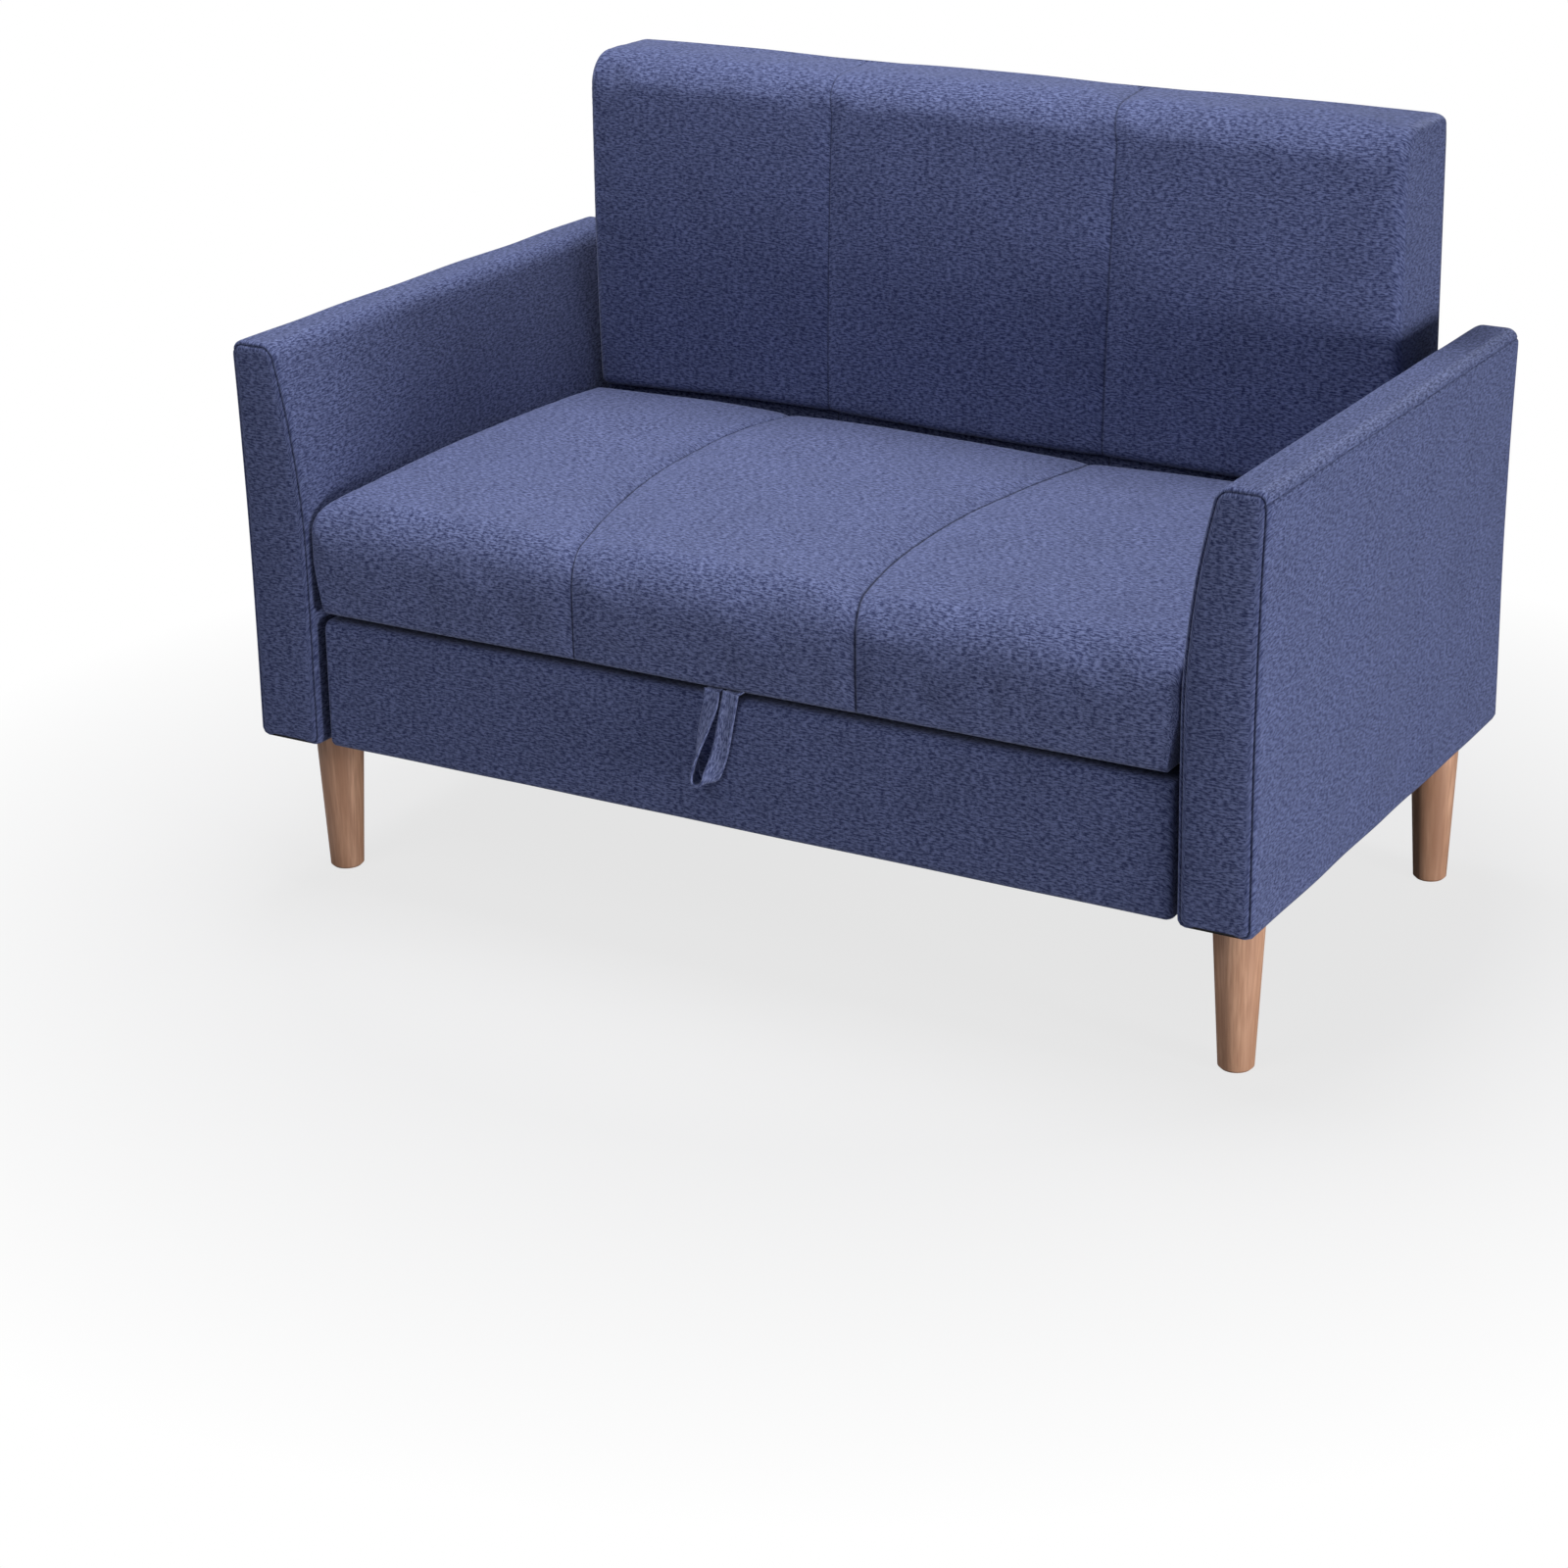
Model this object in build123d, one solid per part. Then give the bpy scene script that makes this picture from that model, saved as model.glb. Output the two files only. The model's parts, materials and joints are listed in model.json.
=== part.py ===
from build123d import *
import os
from math import sqrt

# Two-seater storage sofa. X runs across it, Y from front to rear, Z up from the floor, in millimetres.
# The origin is on the floor, under the middle of the sofa's box.

# Overall sizes
SOFA_WIDTH = 1170.0  # over the tops of the arms
SOFA_DEPTH = 661.0
BACK_TOP_Z = 825.0
ARM_TOP_Z = 605.0
LEG_HEIGHT = 169.0
SEAT_UNDERSIDE_Z = 318.0

# Clearances
FIT_GAP = 0.3  # between seated pieces that aren't fixed face to face
RUN_GAP = 0.05  # all round a pin in a turning hole
HOLE_GAP = 0.3  # all round a bolt in its hole
REST_GAP = 0.5  # under the closed lid
OVERCUT = 2.0  # how far a cut runs past a face

# Arms: upright outside with a slight flare, inner face curved away from the seat
ARM_BASE_WIDTH = 78.5
ARM_FLARE = 7.5
ARM_FLARE_Z = 300.0
ARM_CURVE_Z = 370.0
ARM_INNER_RADIUS = 860.0
ARM_CORNER_ROUND = 11.0
ARM_EDGE_ROUND = 4.0
ARM_PAD = 9.0
ARM_FORMER = 18.0
ARM_RAIL = 28.0
ARM_PANEL = 15.0
ARM_PANEL_TOP_Z = 418.0

# Legs
LEG_TOP_RADIUS = 26.5
LEG_FOOT_RADIUS = 18.0
LEG_FOOT_ROUND = 2.5
LEG_SIDE_INSET = 32.5  # from the arm's inner face to the leg's centre
LEG_FRONT_INSET = 77.5
LEG_REAR_INSET = 65.0
LEG_PLATE = 46.0
LEG_PLATE_THICK = 3.0
LEG_BOLT_DEPTH = 40.0
LEG_BOLT_RISE = 20.0

# Storage box
BOX_BOARD = 15.0
BOX_RAISE = 6.0  # lower edge of the boards above the arms' underside
BOX_REAR_GAP = 8.5  # from the seat's rear face to the rear board
FRONT_SETBACK = 7.0
FRONT_SIDE_GAP = 8.0
FRONT_SHADOW_GAP = 4.0  # between the front panel and the seat
FRONT_BOARD = 22.0
FRONT_PAD = 14.0
FRONT_TOP_PAD = 10.0
FRONT_SIDE_PAD = 5.0
FRONT_ROUND = 12.0
FRONT_SIDE_ROUND = 8.0
FLOOR_PANEL = 6.0
FLOOR_CLEAT = 20.0
FLOOR_RAIL = 40.0
ANGLE_LEG = 36.0
ANGLE_HEIGHT = 50.0
ANGLE_THICK = 2.0
ANGLE_DROP = 40.0  # below the rear board's top

# Seat lid
SEAT_EDGE_HEIGHT = 117.0
SEAT_SETBACK = 4.5
SEAT_SIDE_GAP = 2.0
SEAT_BACK_GAP = 12.0
SEAT_SEAM_X = 165.0
SEAT_CROWN = 8.0
SEAT_PUFF = 4.0
SEAT_FRONT_ROUND = 42.0
SEAT_REAR_ROUND = 16.0
SEAT_SIDE_ROUND = 15.0
SEAT_SIDE_TUCK = 11.0
SEAT_FRONT_TUCK = 6.0
SEAT_EDGE_PUFF = 1.0  # fullness where the rounded end starts
SEAT_TUCK_HEIGHT = 55.0
SEAT_FRONT_FOAM = 20.0
SEAT_SIDE_FOAM = 13.0
SEAT_REAR_FOAM = 13.0
SEAT_RAIL = 25.0
SEAT_RAIL_HEIGHT = 45.0
SEAT_DECK = 6.0
DUST_COVER = 1.0
DUST_COVER_INSET = 0.5

# Back
BACK_DEPTH = 115.0
BACK_SIDE_GAP = 5.0
BACK_BASE_GAP = 2.0  # between the rear board's rim and the back cushion
BACK_SEAM_X = 168.0
BACK_CROWN = 6.0
BACK_PUFF = 3.0
BACK_TOP_ROUND = 42.0
BACK_SIDE_ROUND = 18.0
BACK_TUCK = 8.0
BACK_EDGE_PUFF = 0.6
BACK_RECESS = 18.0  # low in the cushion, for the seat's rear edge as it swings
BACK_RECESS_RISE = 4.0
BACK_FOAM = 43.0
BACK_SIDE_FOAM = 12.0
BACK_TOP_FOAM = 25.0
BACK_BOARD = 4.0
BACK_RAIL = 25.0
BACK_SEAT_RAIL_RISE = 12.0
BACK_REAR_COVER = 3.0
BOLT_RAIL_HEIGHT = 70.0
BOLT_RAIL_RISE = 40.0  # above the lower edge of the boards
MOUNT_RAIL_INSET = 45.0

# Bolts, washers and tee nuts
BOLT_RADIUS = 4.0
BOLT_HEAD_RADIUS = 9.0
BOLT_HEAD = 4.5
WASHER_RADIUS = 11.0
WASHER = 1.5
TEE_BARREL_RADIUS = 5.5
TEE_BARREL = 11.0
TEE_FLANGE_RADIUS = 11.0
TEE_FLANGE = 2.0
BOLT_TAIL = 4.0
ARM_BOLT_COUNT = 2
ARM_BOLT_INSET = 90.0
BACK_BOLT_COUNT = 2
BACK_BOLT_INSET = 150.0

# Lid pivots
PIVOT_INSET = 5.5  # from the seat's rear face
PIVOT_DROP = 47.0  # below the seat's upper edge
PIN_RADIUS = 5.0
PIN_HEAD_RADIUS = 9.0
PIN_HEAD = 3.5
PIVOT_SIDE_GAP = 0.1
BUSH_RADIUS = 9.0
BRACKET = 2.5
BRACKET_ROUND = 13.0
BRACKET_DROP = 56.0
LID_PLATE = 3.0
LID_PLATE_ROUND = 12.0
LID_PLATE_LENGTH = 48.0
LID_PLATE_RISE = 4.0
POCKET_LENGTH = 52.0
POCKET_GAP = 3.5

# Pull loop
LOOP_WIDTH = 34.0
LOOP_BAND = 12.0
LOOP_DROP = 97.0
LOOP_THICK = 3.0
LOOP_SETBACK = 1.5
LOOP_TAB = 2.0
LOOP_TAB_LENGTH = 30.0

# Shared planes worked out from the sizes above
front_y = -SOFA_DEPTH / 2
rear_y = SOFA_DEPTH / 2
arm_outer_x = SOFA_WIDTH / 2 - ARM_FLARE
arm_inner_x = arm_outer_x - ARM_BASE_WIDTH
arm_core = ARM_PAD + FIT_GAP
flare_height = ARM_TOP_Z - ARM_FLARE_Z
flare_radius = (flare_height**2 + ARM_FLARE**2) / (2 * ARM_FLARE)
board_base_z = LEG_HEIGHT + BOX_RAISE
back_front = rear_y - BACK_DEPTH
back_half = arm_inner_x - BACK_SIDE_GAP
seat_front = front_y + SEAT_SETBACK
seat_rear = back_front - SEAT_BACK_GAP
seat_half = arm_inner_x - SEAT_SIDE_GAP
seat_top = SEAT_UNDERSIDE_Z + SEAT_EDGE_HEIGHT
box_rear = seat_rear + BOX_REAR_GAP
box_outer_x = arm_inner_x - FIT_GAP
box_inner_x = box_outer_x - BOX_BOARD
panel_front = front_y + FRONT_SETBACK
panel_half = arm_inner_x - FRONT_SIDE_GAP
panel_top = SEAT_UNDERSIDE_Z - FRONT_SHADOW_GAP
panel_rear = panel_front + FRONT_BOARD + 2 * FRONT_PAD
floor_z = board_base_z + FLOOR_CLEAT
pivot_y = seat_rear - PIVOT_INSET
pivot_z = seat_top - PIVOT_DROP
bolt_rail_z = (board_base_z + BOLT_RAIL_RISE, board_base_z + BOLT_RAIL_RISE + BOLT_RAIL_HEIGHT)
bolt_z = sum(bolt_rail_z) / 2

nodes = {}


def add(name, *solids):
    """Keep one named piece, or a group of identical fasteners."""
    nodes[name] = solids[0] if len(solids) == 1 else Compound(children=list(solids))


def mirrored(solid):
    """The same piece on the sofa's left side."""
    return mirror(solid, about=Plane.YZ)


def add_pair(name, solid):
    """Keep a piece of the right side and its mirror image on the left."""
    add(name + "_right", solid)
    add(name + "_left", mirrored(solid))


def block(x, y, z):
    """A block between the low and high value on each axis."""
    centre = Pos(sum(x) / 2, sum(y) / 2, sum(z) / 2)
    return centre * Box(x[1] - x[0], y[1] - y[0], z[1] - z[0])


def even(half):
    """A span of equal reach to both sides."""
    return (-half, half)


def rod_x(radius, x, y, z):
    """A round bar along X between two values."""
    return Pos(sum(x) / 2, y, z) * Rot(0, 90, 0) * Cylinder(radius, x[1] - x[0])


def rod_y(radius, x, y, z):
    """A round bar along Y between two values."""
    return Pos(x, sum(y) / 2, z) * Rot(90, 0, 0) * Cylinder(radius, y[1] - y[0])


def rod_z(radius, x, y, z):
    """A round bar along Z between two values."""
    return Pos(x, y, sum(z) / 2) * Cylinder(radius, z[1] - z[0])


def spread(low, high, count):
    """Evenly spaced places from low to high."""
    return [low + (high - low) * i / (count - 1) for i in range(count)]


def lean(height, radius):
    """How far an arc that starts upright has turned aside at a height."""
    return radius - sqrt(radius**2 - height**2)


def quarter(start, corner, end):
    """A quarter arc that rounds off the corner between two points."""
    share = 1 - sqrt(0.5)
    middle = tuple(c + (s + e - 2 * c) * share for s, c, e in zip(start, corner, end))
    return ThreePointArc(start, middle, end)


def arm_outline(inset, base_z):
    """Front view of the right arm, drawn in from its cover by inset."""
    top = ARM_TOP_Z - inset
    inner = arm_inner_x + inset
    outer = arm_outer_x - inset
    inner_radius = ARM_INNER_RADIUS - inset
    outer_radius = flare_radius + inset
    inner_top = inner + lean(top - ARM_CURVE_Z, inner_radius)
    outer_top = outer + lean(top - ARM_FLARE_Z, outer_radius)
    inner_mid = (inner + lean((top - ARM_CURVE_Z) / 2, inner_radius), (top + ARM_CURVE_Z) / 2)
    outer_mid = (outer + lean((top - ARM_FLARE_Z) / 2, outer_radius), (top + ARM_FLARE_Z) / 2)
    outline = make_face(
        [
            Line((inner, base_z), (inner, ARM_CURVE_Z)),
            ThreePointArc((inner, ARM_CURVE_Z), inner_mid, (inner_top, top)),
            Line((inner_top, top), (outer_top, top)),
            ThreePointArc((outer_top, top), outer_mid, (outer, ARM_FLARE_Z)),
            Line((outer, ARM_FLARE_Z), (outer, base_z)),
            Line((outer, base_z), (inner, base_z)),
        ]
    )
    corners = outline.vertices().sort_by(Axis.Y)[-2:]
    return fillet(corners, ARM_CORNER_ROUND - inset)


def arm_prism(inset, base_z, y):
    """The arm's outline carried from front to rear between two Y values."""
    face = Plane((0, y[0], 0), x_dir=(1, 0, 0), z_dir=(0, -1, 0)) * arm_outline(inset, base_z)
    return extrude(face, amount=y[1] - y[0], dir=(0, 1, 0))


def make_arms():
    """Padded cover, two formers, two rails and the mount panel of each arm."""
    cover = arm_prism(0, LEG_HEIGHT, (front_y, rear_y))
    for end in (Axis.Y, -Axis.Y):
        rim = cover.faces().sort_by(end)[-1].edges().sort_by(Axis.Z)[1:]
        cover = fillet(rim, ARM_EDGE_ROUND)
    cover -= arm_prism(ARM_PAD, LEG_HEIGHT - OVERCUT, (front_y + ARM_PAD, rear_y - ARM_PAD))
    front_former = (front_y + arm_core, front_y + arm_core + ARM_FORMER)
    rear_former = (rear_y - arm_core - ARM_FORMER, rear_y - arm_core)
    core = arm_prism(arm_core, LEG_HEIGHT, (front_former[1], rear_former[0]))
    run = (front_former[1], rear_former[0])
    width = (arm_inner_x, SOFA_WIDTH / 2)
    base = LEG_HEIGHT + LEG_PLATE_THICK
    top = ARM_TOP_Z - arm_core
    panel_x = (arm_inner_x, arm_inner_x + arm_core + ARM_PANEL)
    bottom_rail = core & block(width, run, (base, base + ARM_RAIL))
    top_rail = core & block(width, run, (top - ARM_RAIL, top))
    panel = core & block(panel_x, run, (base + ARM_RAIL, ARM_PANEL_TOP_Z))
    for y in arm_bolt_ys():
        cover -= rod_x(BOLT_RADIUS + HOLE_GAP, (arm_inner_x - OVERCUT, arm_inner_x + arm_core), y, bolt_z)
        panel -= rod_x(TEE_BARREL_RADIUS + HOLE_GAP, (arm_inner_x, panel_x[1] + OVERCUT), y, bolt_z)
    for y in leg_ys():
        hole = (base - OVERCUT, base + LEG_BOLT_RISE + OVERCUT)
        bottom_rail -= rod_z(BOLT_RADIUS + HOLE_GAP, leg_x(), y, hole)
    add_pair("arm_cover", cover)
    add_pair("arm_front_former", arm_prism(arm_core, LEG_HEIGHT, front_former))
    add_pair("arm_rear_former", arm_prism(arm_core, LEG_HEIGHT, rear_former))
    add_pair("arm_bottom_rail", bottom_rail)
    add_pair("arm_top_rail", top_rail)
    add_pair("arm_mount_panel", panel)


def leg_x():
    """Centre line of the right legs."""
    return arm_inner_x + LEG_SIDE_INSET


def leg_ys():
    """Centres of the front and the rear leg."""
    return (front_y + LEG_FRONT_INSET, rear_y - LEG_REAR_INSET)


def make_legs():
    """Turned tapered legs with their plates and hanger bolts."""
    foot = (LEG_FOOT_RADIUS, LEG_FOOT_ROUND)
    top = (LEG_TOP_RADIUS, LEG_HEIGHT)
    profile = make_face(
        [
            Line((0, 0), (LEG_FOOT_RADIUS - LEG_FOOT_ROUND, 0)),
            Line((LEG_FOOT_RADIUS - LEG_FOOT_ROUND, 0), foot),
            Line(foot, top),
            Line(top, (0, LEG_HEIGHT)),
            Line((0, LEG_HEIGHT), (0, 0)),
        ]
    )
    turned = revolve(Plane.XZ * profile, Axis.Z)
    bolt_span = (LEG_HEIGHT - LEG_BOLT_DEPTH, LEG_HEIGHT + LEG_PLATE_THICK + LEG_BOLT_RISE)
    plate_span = (LEG_HEIGHT, LEG_HEIGHT + LEG_PLATE_THICK)
    turned -= rod_z(BOLT_RADIUS + HOLE_GAP, 0, 0, (bolt_span[0] - FIT_GAP, LEG_HEIGHT + OVERCUT))
    plates = []
    bolts = []
    for place, y in zip(("front", "rear"), leg_ys()):
        add_pair("leg_" + place, Pos(leg_x(), y, 0) * turned)
        plate = block(even(LEG_PLATE / 2), even(LEG_PLATE / 2), plate_span)
        plate -= rod_z(BOLT_RADIUS + HOLE_GAP, 0, 0, (LEG_HEIGHT - OVERCUT, plate_span[1] + OVERCUT))
        plate = Pos(leg_x(), y, 0) * plate
        bolt = rod_z(BOLT_RADIUS, leg_x(), y, bolt_span)
        plates += [plate, mirrored(plate)]
        bolts += [bolt, mirrored(bolt)]
    add("leg_plates", *plates)
    add("leg_bolts", *bolts)


def arm_bolt_ys():
    """Places of the bolts that hold an arm to the storage box."""
    return spread(panel_rear + ARM_BOLT_INSET, box_rear - ARM_BOLT_INSET, ARM_BOLT_COUNT)


def back_bolt_xs():
    """Places of the bolts that hold the back to the storage box."""
    reach = box_inner_x - BACK_BOLT_INSET
    return spread(-reach, reach, BACK_BOLT_COUNT)


def make_front_panel():
    """Front board of the box in its padded cover, which is open below."""
    board_x = even(panel_half - FRONT_SIDE_PAD)
    board_y = (panel_front + FRONT_PAD, panel_front + FRONT_PAD + FRONT_BOARD)
    board_z = (LEG_HEIGHT, panel_top - FRONT_TOP_PAD)
    cover = block(even(panel_half), (panel_front, panel_rear), (LEG_HEIGHT, panel_top))
    uprights = cover.edges().filter_by(Axis.Z).group_by(Axis.Y)[0]
    cover = fillet(uprights, FRONT_SIDE_ROUND)
    rim = cover.faces().sort_by(Axis.Z)[-1].edges().filter_by(Axis.X)
    cover = fillet(rim, FRONT_ROUND)
    cover -= block(
        (board_x[0] - FIT_GAP, board_x[1] + FIT_GAP),
        (board_y[0] - FIT_GAP, board_y[1] + FIT_GAP),
        (LEG_HEIGHT - OVERCUT, board_z[1] + FIT_GAP),
    )
    add("front_cover", cover)
    add("front_board", block(board_x, board_y, board_z))


def make_box():
    """Boards, floor, cleats and corner angles of the storage box."""
    side_y = (panel_rear + FIT_GAP, box_rear)
    rear_top = SEAT_UNDERSIDE_Z - BACK_BASE_GAP
    side = block((box_inner_x, box_outer_x), side_y, (board_base_z, SEAT_UNDERSIDE_Z - REST_GAP))
    rear = block(even(box_outer_x), (box_rear, box_rear + BOX_BOARD), (board_base_z, rear_top))
    for y in arm_bolt_ys():
        side -= rod_x(BOLT_RADIUS + HOLE_GAP, (box_inner_x - OVERCUT, box_outer_x + OVERCUT), y, bolt_z)
    through = (box_rear - OVERCUT, box_rear + BOX_BOARD + OVERCUT)
    for x in back_bolt_xs():
        rear -= rod_y(BOLT_RADIUS + HOLE_GAP, x, through, bolt_z)
    cleat_z = (board_base_z, floor_z)
    add_pair("side_board", side)
    add("rear_board", rear)
    add("floor_panel", block(even(box_inner_x - FIT_GAP), side_y, (floor_z, floor_z + FLOOR_PANEL)))
    add_pair("floor_cleat", block((box_inner_x - FLOOR_CLEAT, box_inner_x), side_y, cleat_z))
    add("floor_rail", block(even(FLOOR_RAIL / 2), side_y, cleat_z))
    angle_top = rear_top - ANGLE_DROP
    angle_z = (angle_top - ANGLE_HEIGHT, angle_top)
    angle_x = (box_inner_x - ANGLE_LEG, box_inner_x)
    plate_x = (box_inner_x - ANGLE_THICK, box_inner_x)
    front = block(angle_x, (side_y[0], side_y[0] + ANGLE_THICK), angle_z)
    front += block(plate_x, (side_y[0], side_y[0] + ANGLE_LEG), angle_z)
    back = block(angle_x, (box_rear - ANGLE_THICK, box_rear), angle_z)
    back += block(plate_x, (box_rear - ANGLE_LEG, box_rear), angle_z)
    add("corner_angles", front, mirrored(front), back, mirrored(back))


def make_bolts(back_nut_y):
    """Bolts, washers and tee nuts that hold the arms and the back to the storage box."""
    nut_x = arm_inner_x + arm_core + ARM_PANEL
    arm_bolts, back_bolts, washers, nuts = [], [], [], []
    for y in arm_bolt_ys():
        seat = box_inner_x - WASHER
        bolt = rod_x(BOLT_HEAD_RADIUS, (seat - BOLT_HEAD, seat), y, bolt_z)
        bolt += rod_x(BOLT_RADIUS, (seat, nut_x + TEE_FLANGE + BOLT_TAIL), y, bolt_z)
        washer = rod_x(WASHER_RADIUS, (seat, box_inner_x), y, bolt_z)
        washer -= rod_x(BOLT_RADIUS + HOLE_GAP, (seat - OVERCUT, box_inner_x + OVERCUT), y, bolt_z)
        nut = rod_x(TEE_FLANGE_RADIUS, (nut_x, nut_x + TEE_FLANGE), y, bolt_z)
        nut += rod_x(TEE_BARREL_RADIUS, (nut_x - TEE_BARREL, nut_x), y, bolt_z)
        nut -= rod_x(BOLT_RADIUS + HOLE_GAP, (box_inner_x, nut_x + TEE_BARREL), y, bolt_z)
        arm_bolts += [bolt, mirrored(bolt)]
        washers += [washer, mirrored(washer)]
        nuts += [nut, mirrored(nut)]
    for x in back_bolt_xs():
        seat = box_rear - WASHER
        bolt = rod_y(BOLT_HEAD_RADIUS, x, (seat - BOLT_HEAD, seat), bolt_z)
        bolt += rod_y(BOLT_RADIUS, x, (seat, back_nut_y + TEE_FLANGE + BOLT_TAIL), bolt_z)
        washer = rod_y(WASHER_RADIUS, x, (seat, box_rear), bolt_z)
        washer -= rod_y(BOLT_RADIUS + HOLE_GAP, x, (seat - OVERCUT, box_rear + OVERCUT), bolt_z)
        nut = rod_y(TEE_FLANGE_RADIUS, x, (back_nut_y, back_nut_y + TEE_FLANGE), bolt_z)
        nut += rod_y(TEE_BARREL_RADIUS, x, (back_nut_y - TEE_BARREL, back_nut_y), bolt_z)
        nut -= rod_y(BOLT_RADIUS + HOLE_GAP, x, (box_rear, back_nut_y + TEE_BARREL), bolt_z)
        back_bolts.append(bolt)
        washers.append(washer)
        nuts.append(nut)
    add("arm_bolts", *arm_bolts)
    add("back_bolts", *back_bolts)
    add("bolt_washers", *washers)
    add("tee_nuts", *nuts)


def end_steps(half, rounding, tuck):
    """Stations of a rounded end, with one where its tuck starts: place, and how far it has turned in."""
    start = 1 - tuck / rounding
    turns = (0.0, start, *(start + (1 - start) * share for share in (0.45, 0.8, 1.0)))
    return [(half - rounding * (1 - t), rounding * (1 - sqrt(1 - t * t))) for t in turns]


def seat_section(x, puff, bite=0.0):
    """Side view of the seat at one station across it: puff is 0 at a seam and 1 between seams."""
    tucked = max(0.0, (abs(x) - seat_half + SEAT_SIDE_TUCK) / SEAT_SIDE_TUCK)
    slack = SEAT_PUFF * (1 - puff)
    base = SEAT_UNDERSIDE_Z + SEAT_TUCK_HEIGHT * tucked
    top = seat_top - slack - bite
    front = seat_front + slack / 2 + bite / 4
    rear = seat_rear - bite / 2
    share = (top - base) / SEAT_EDGE_HEIGHT
    front_round = SEAT_FRONT_ROUND * share
    rear_round = SEAT_REAR_ROUND * share
    waist = base + SEAT_TUCK_HEIGHT * share / 2
    crown = ((front + rear) / 2, top + SEAT_CROWN * share)
    outline = [
        Line((front + SEAT_FRONT_TUCK * share, base), (front, waist)),
        Line((front, waist), (front, top - front_round)),
        quarter((front, top - front_round), (front, top), (front + front_round, top)),
        ThreePointArc((front + front_round, top), crown, (rear - rear_round, top)),
        quarter((rear - rear_round, top), (rear, top), (rear, top - rear_round)),
        Line((rear, top - rear_round), (rear, base)),
        Line((rear, base), (front + SEAT_FRONT_TUCK * share, base)),
    ]
    return Plane.YZ.offset(x) * make_face(outline)


def back_section(x, puff, bite=0.0):
    """Side view of the back cushion at one station across it."""
    base = SEAT_UNDERSIDE_Z + BACK_BASE_GAP
    top = BACK_TOP_Z - BACK_PUFF * (1 - puff) - bite / 2
    front = back_front - BACK_PUFF * puff + bite
    rear = rear_y - BACK_REAR_COVER - FIT_GAP
    brow = top - BACK_TOP_ROUND
    crown = (front + BACK_TUCK / 2 - BACK_CROWN, (base + brow) / 2)
    outline = [
        ThreePointArc((front + BACK_TUCK, base), crown, (front, brow)),
        quarter((front, brow), (front, top), (front + BACK_TOP_ROUND, top)),
        Line((front + BACK_TOP_ROUND, top), (rear, top)),
        Line((rear, top), (rear, base)),
        Line((rear, base), (front + BACK_TUCK, base)),
    ]
    return Plane.YZ.offset(x) * make_face(outline)


def channelled(section, half, seam_x, rounding, tuck, edge_puff):
    """Three sewn panels that swell between their seams, closed by a rounded end on each side."""
    shoulder = half - rounding
    centre = loft([section(-seam_x, 0), section(0, 1), section(seam_x, 0)])
    side = loft([section(seam_x, 0), section((seam_x + shoulder) / 2, 1), section(shoulder, edge_puff)])
    end = [section(x, edge_puff, bite) for x, bite in end_steps(half, rounding, tuck)]
    side += loft(end, ruled=True)
    return centre + side + mirrored(side)


def make_seat():
    """Frame, deck, dust cover and channelled cushion of the hinged seat."""
    half = seat_half - SEAT_SIDE_FOAM
    front = seat_front + SEAT_FRONT_FOAM
    rear = seat_rear - SEAT_REAR_FOAM
    base = SEAT_UNDERSIDE_Z + DUST_COVER
    rail_z = (base, base + SEAT_RAIL_HEIGHT)
    deck_z = (rail_z[1], rail_z[1] + SEAT_DECK)
    between = (front + SEAT_RAIL, rear - SEAT_RAIL)
    side = (SEAT_SIDE_ROUND, SEAT_SIDE_TUCK, SEAT_EDGE_PUFF)
    cushion = channelled(seat_section, seat_half, SEAT_SEAM_X, *side)
    cushion -= block(
        even(half + FIT_GAP),
        (front - FIT_GAP, rear + FIT_GAP),
        (SEAT_UNDERSIDE_Z - OVERCUT, deck_z[1] + FIT_GAP),
    )
    pocket = block(
        (half - PIN_HEAD - 2 * FIT_GAP, arm_inner_x),
        (seat_rear - POCKET_LENGTH, back_front),
        (SEAT_UNDERSIDE_Z - OVERCUT, pivot_z + LID_PLATE_ROUND + POCKET_GAP),
    )
    cushion -= pocket
    cushion -= mirrored(pocket)
    add("seat_cushion", cushion)
    add("seat_deck", block(even(half), (front, rear), deck_z))
    add("seat_front_rail", block(even(half), (front, between[0]), rail_z))
    add("seat_rear_rail", block(even(half), (between[1], rear), rail_z))
    add_pair("seat_side_rail", block((half - SEAT_RAIL, half), between, rail_z))
    add("seat_centre_rail", block(even(SEAT_RAIL / 2), between, rail_z))
    cover_y = (front + DUST_COVER_INSET, rear - DUST_COVER_INSET)
    add("seat_dust_cover", block(even(half - DUST_COVER_INSET), cover_y, (SEAT_UNDERSIDE_Z, base)))
    return half, deck_z[1]


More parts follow.
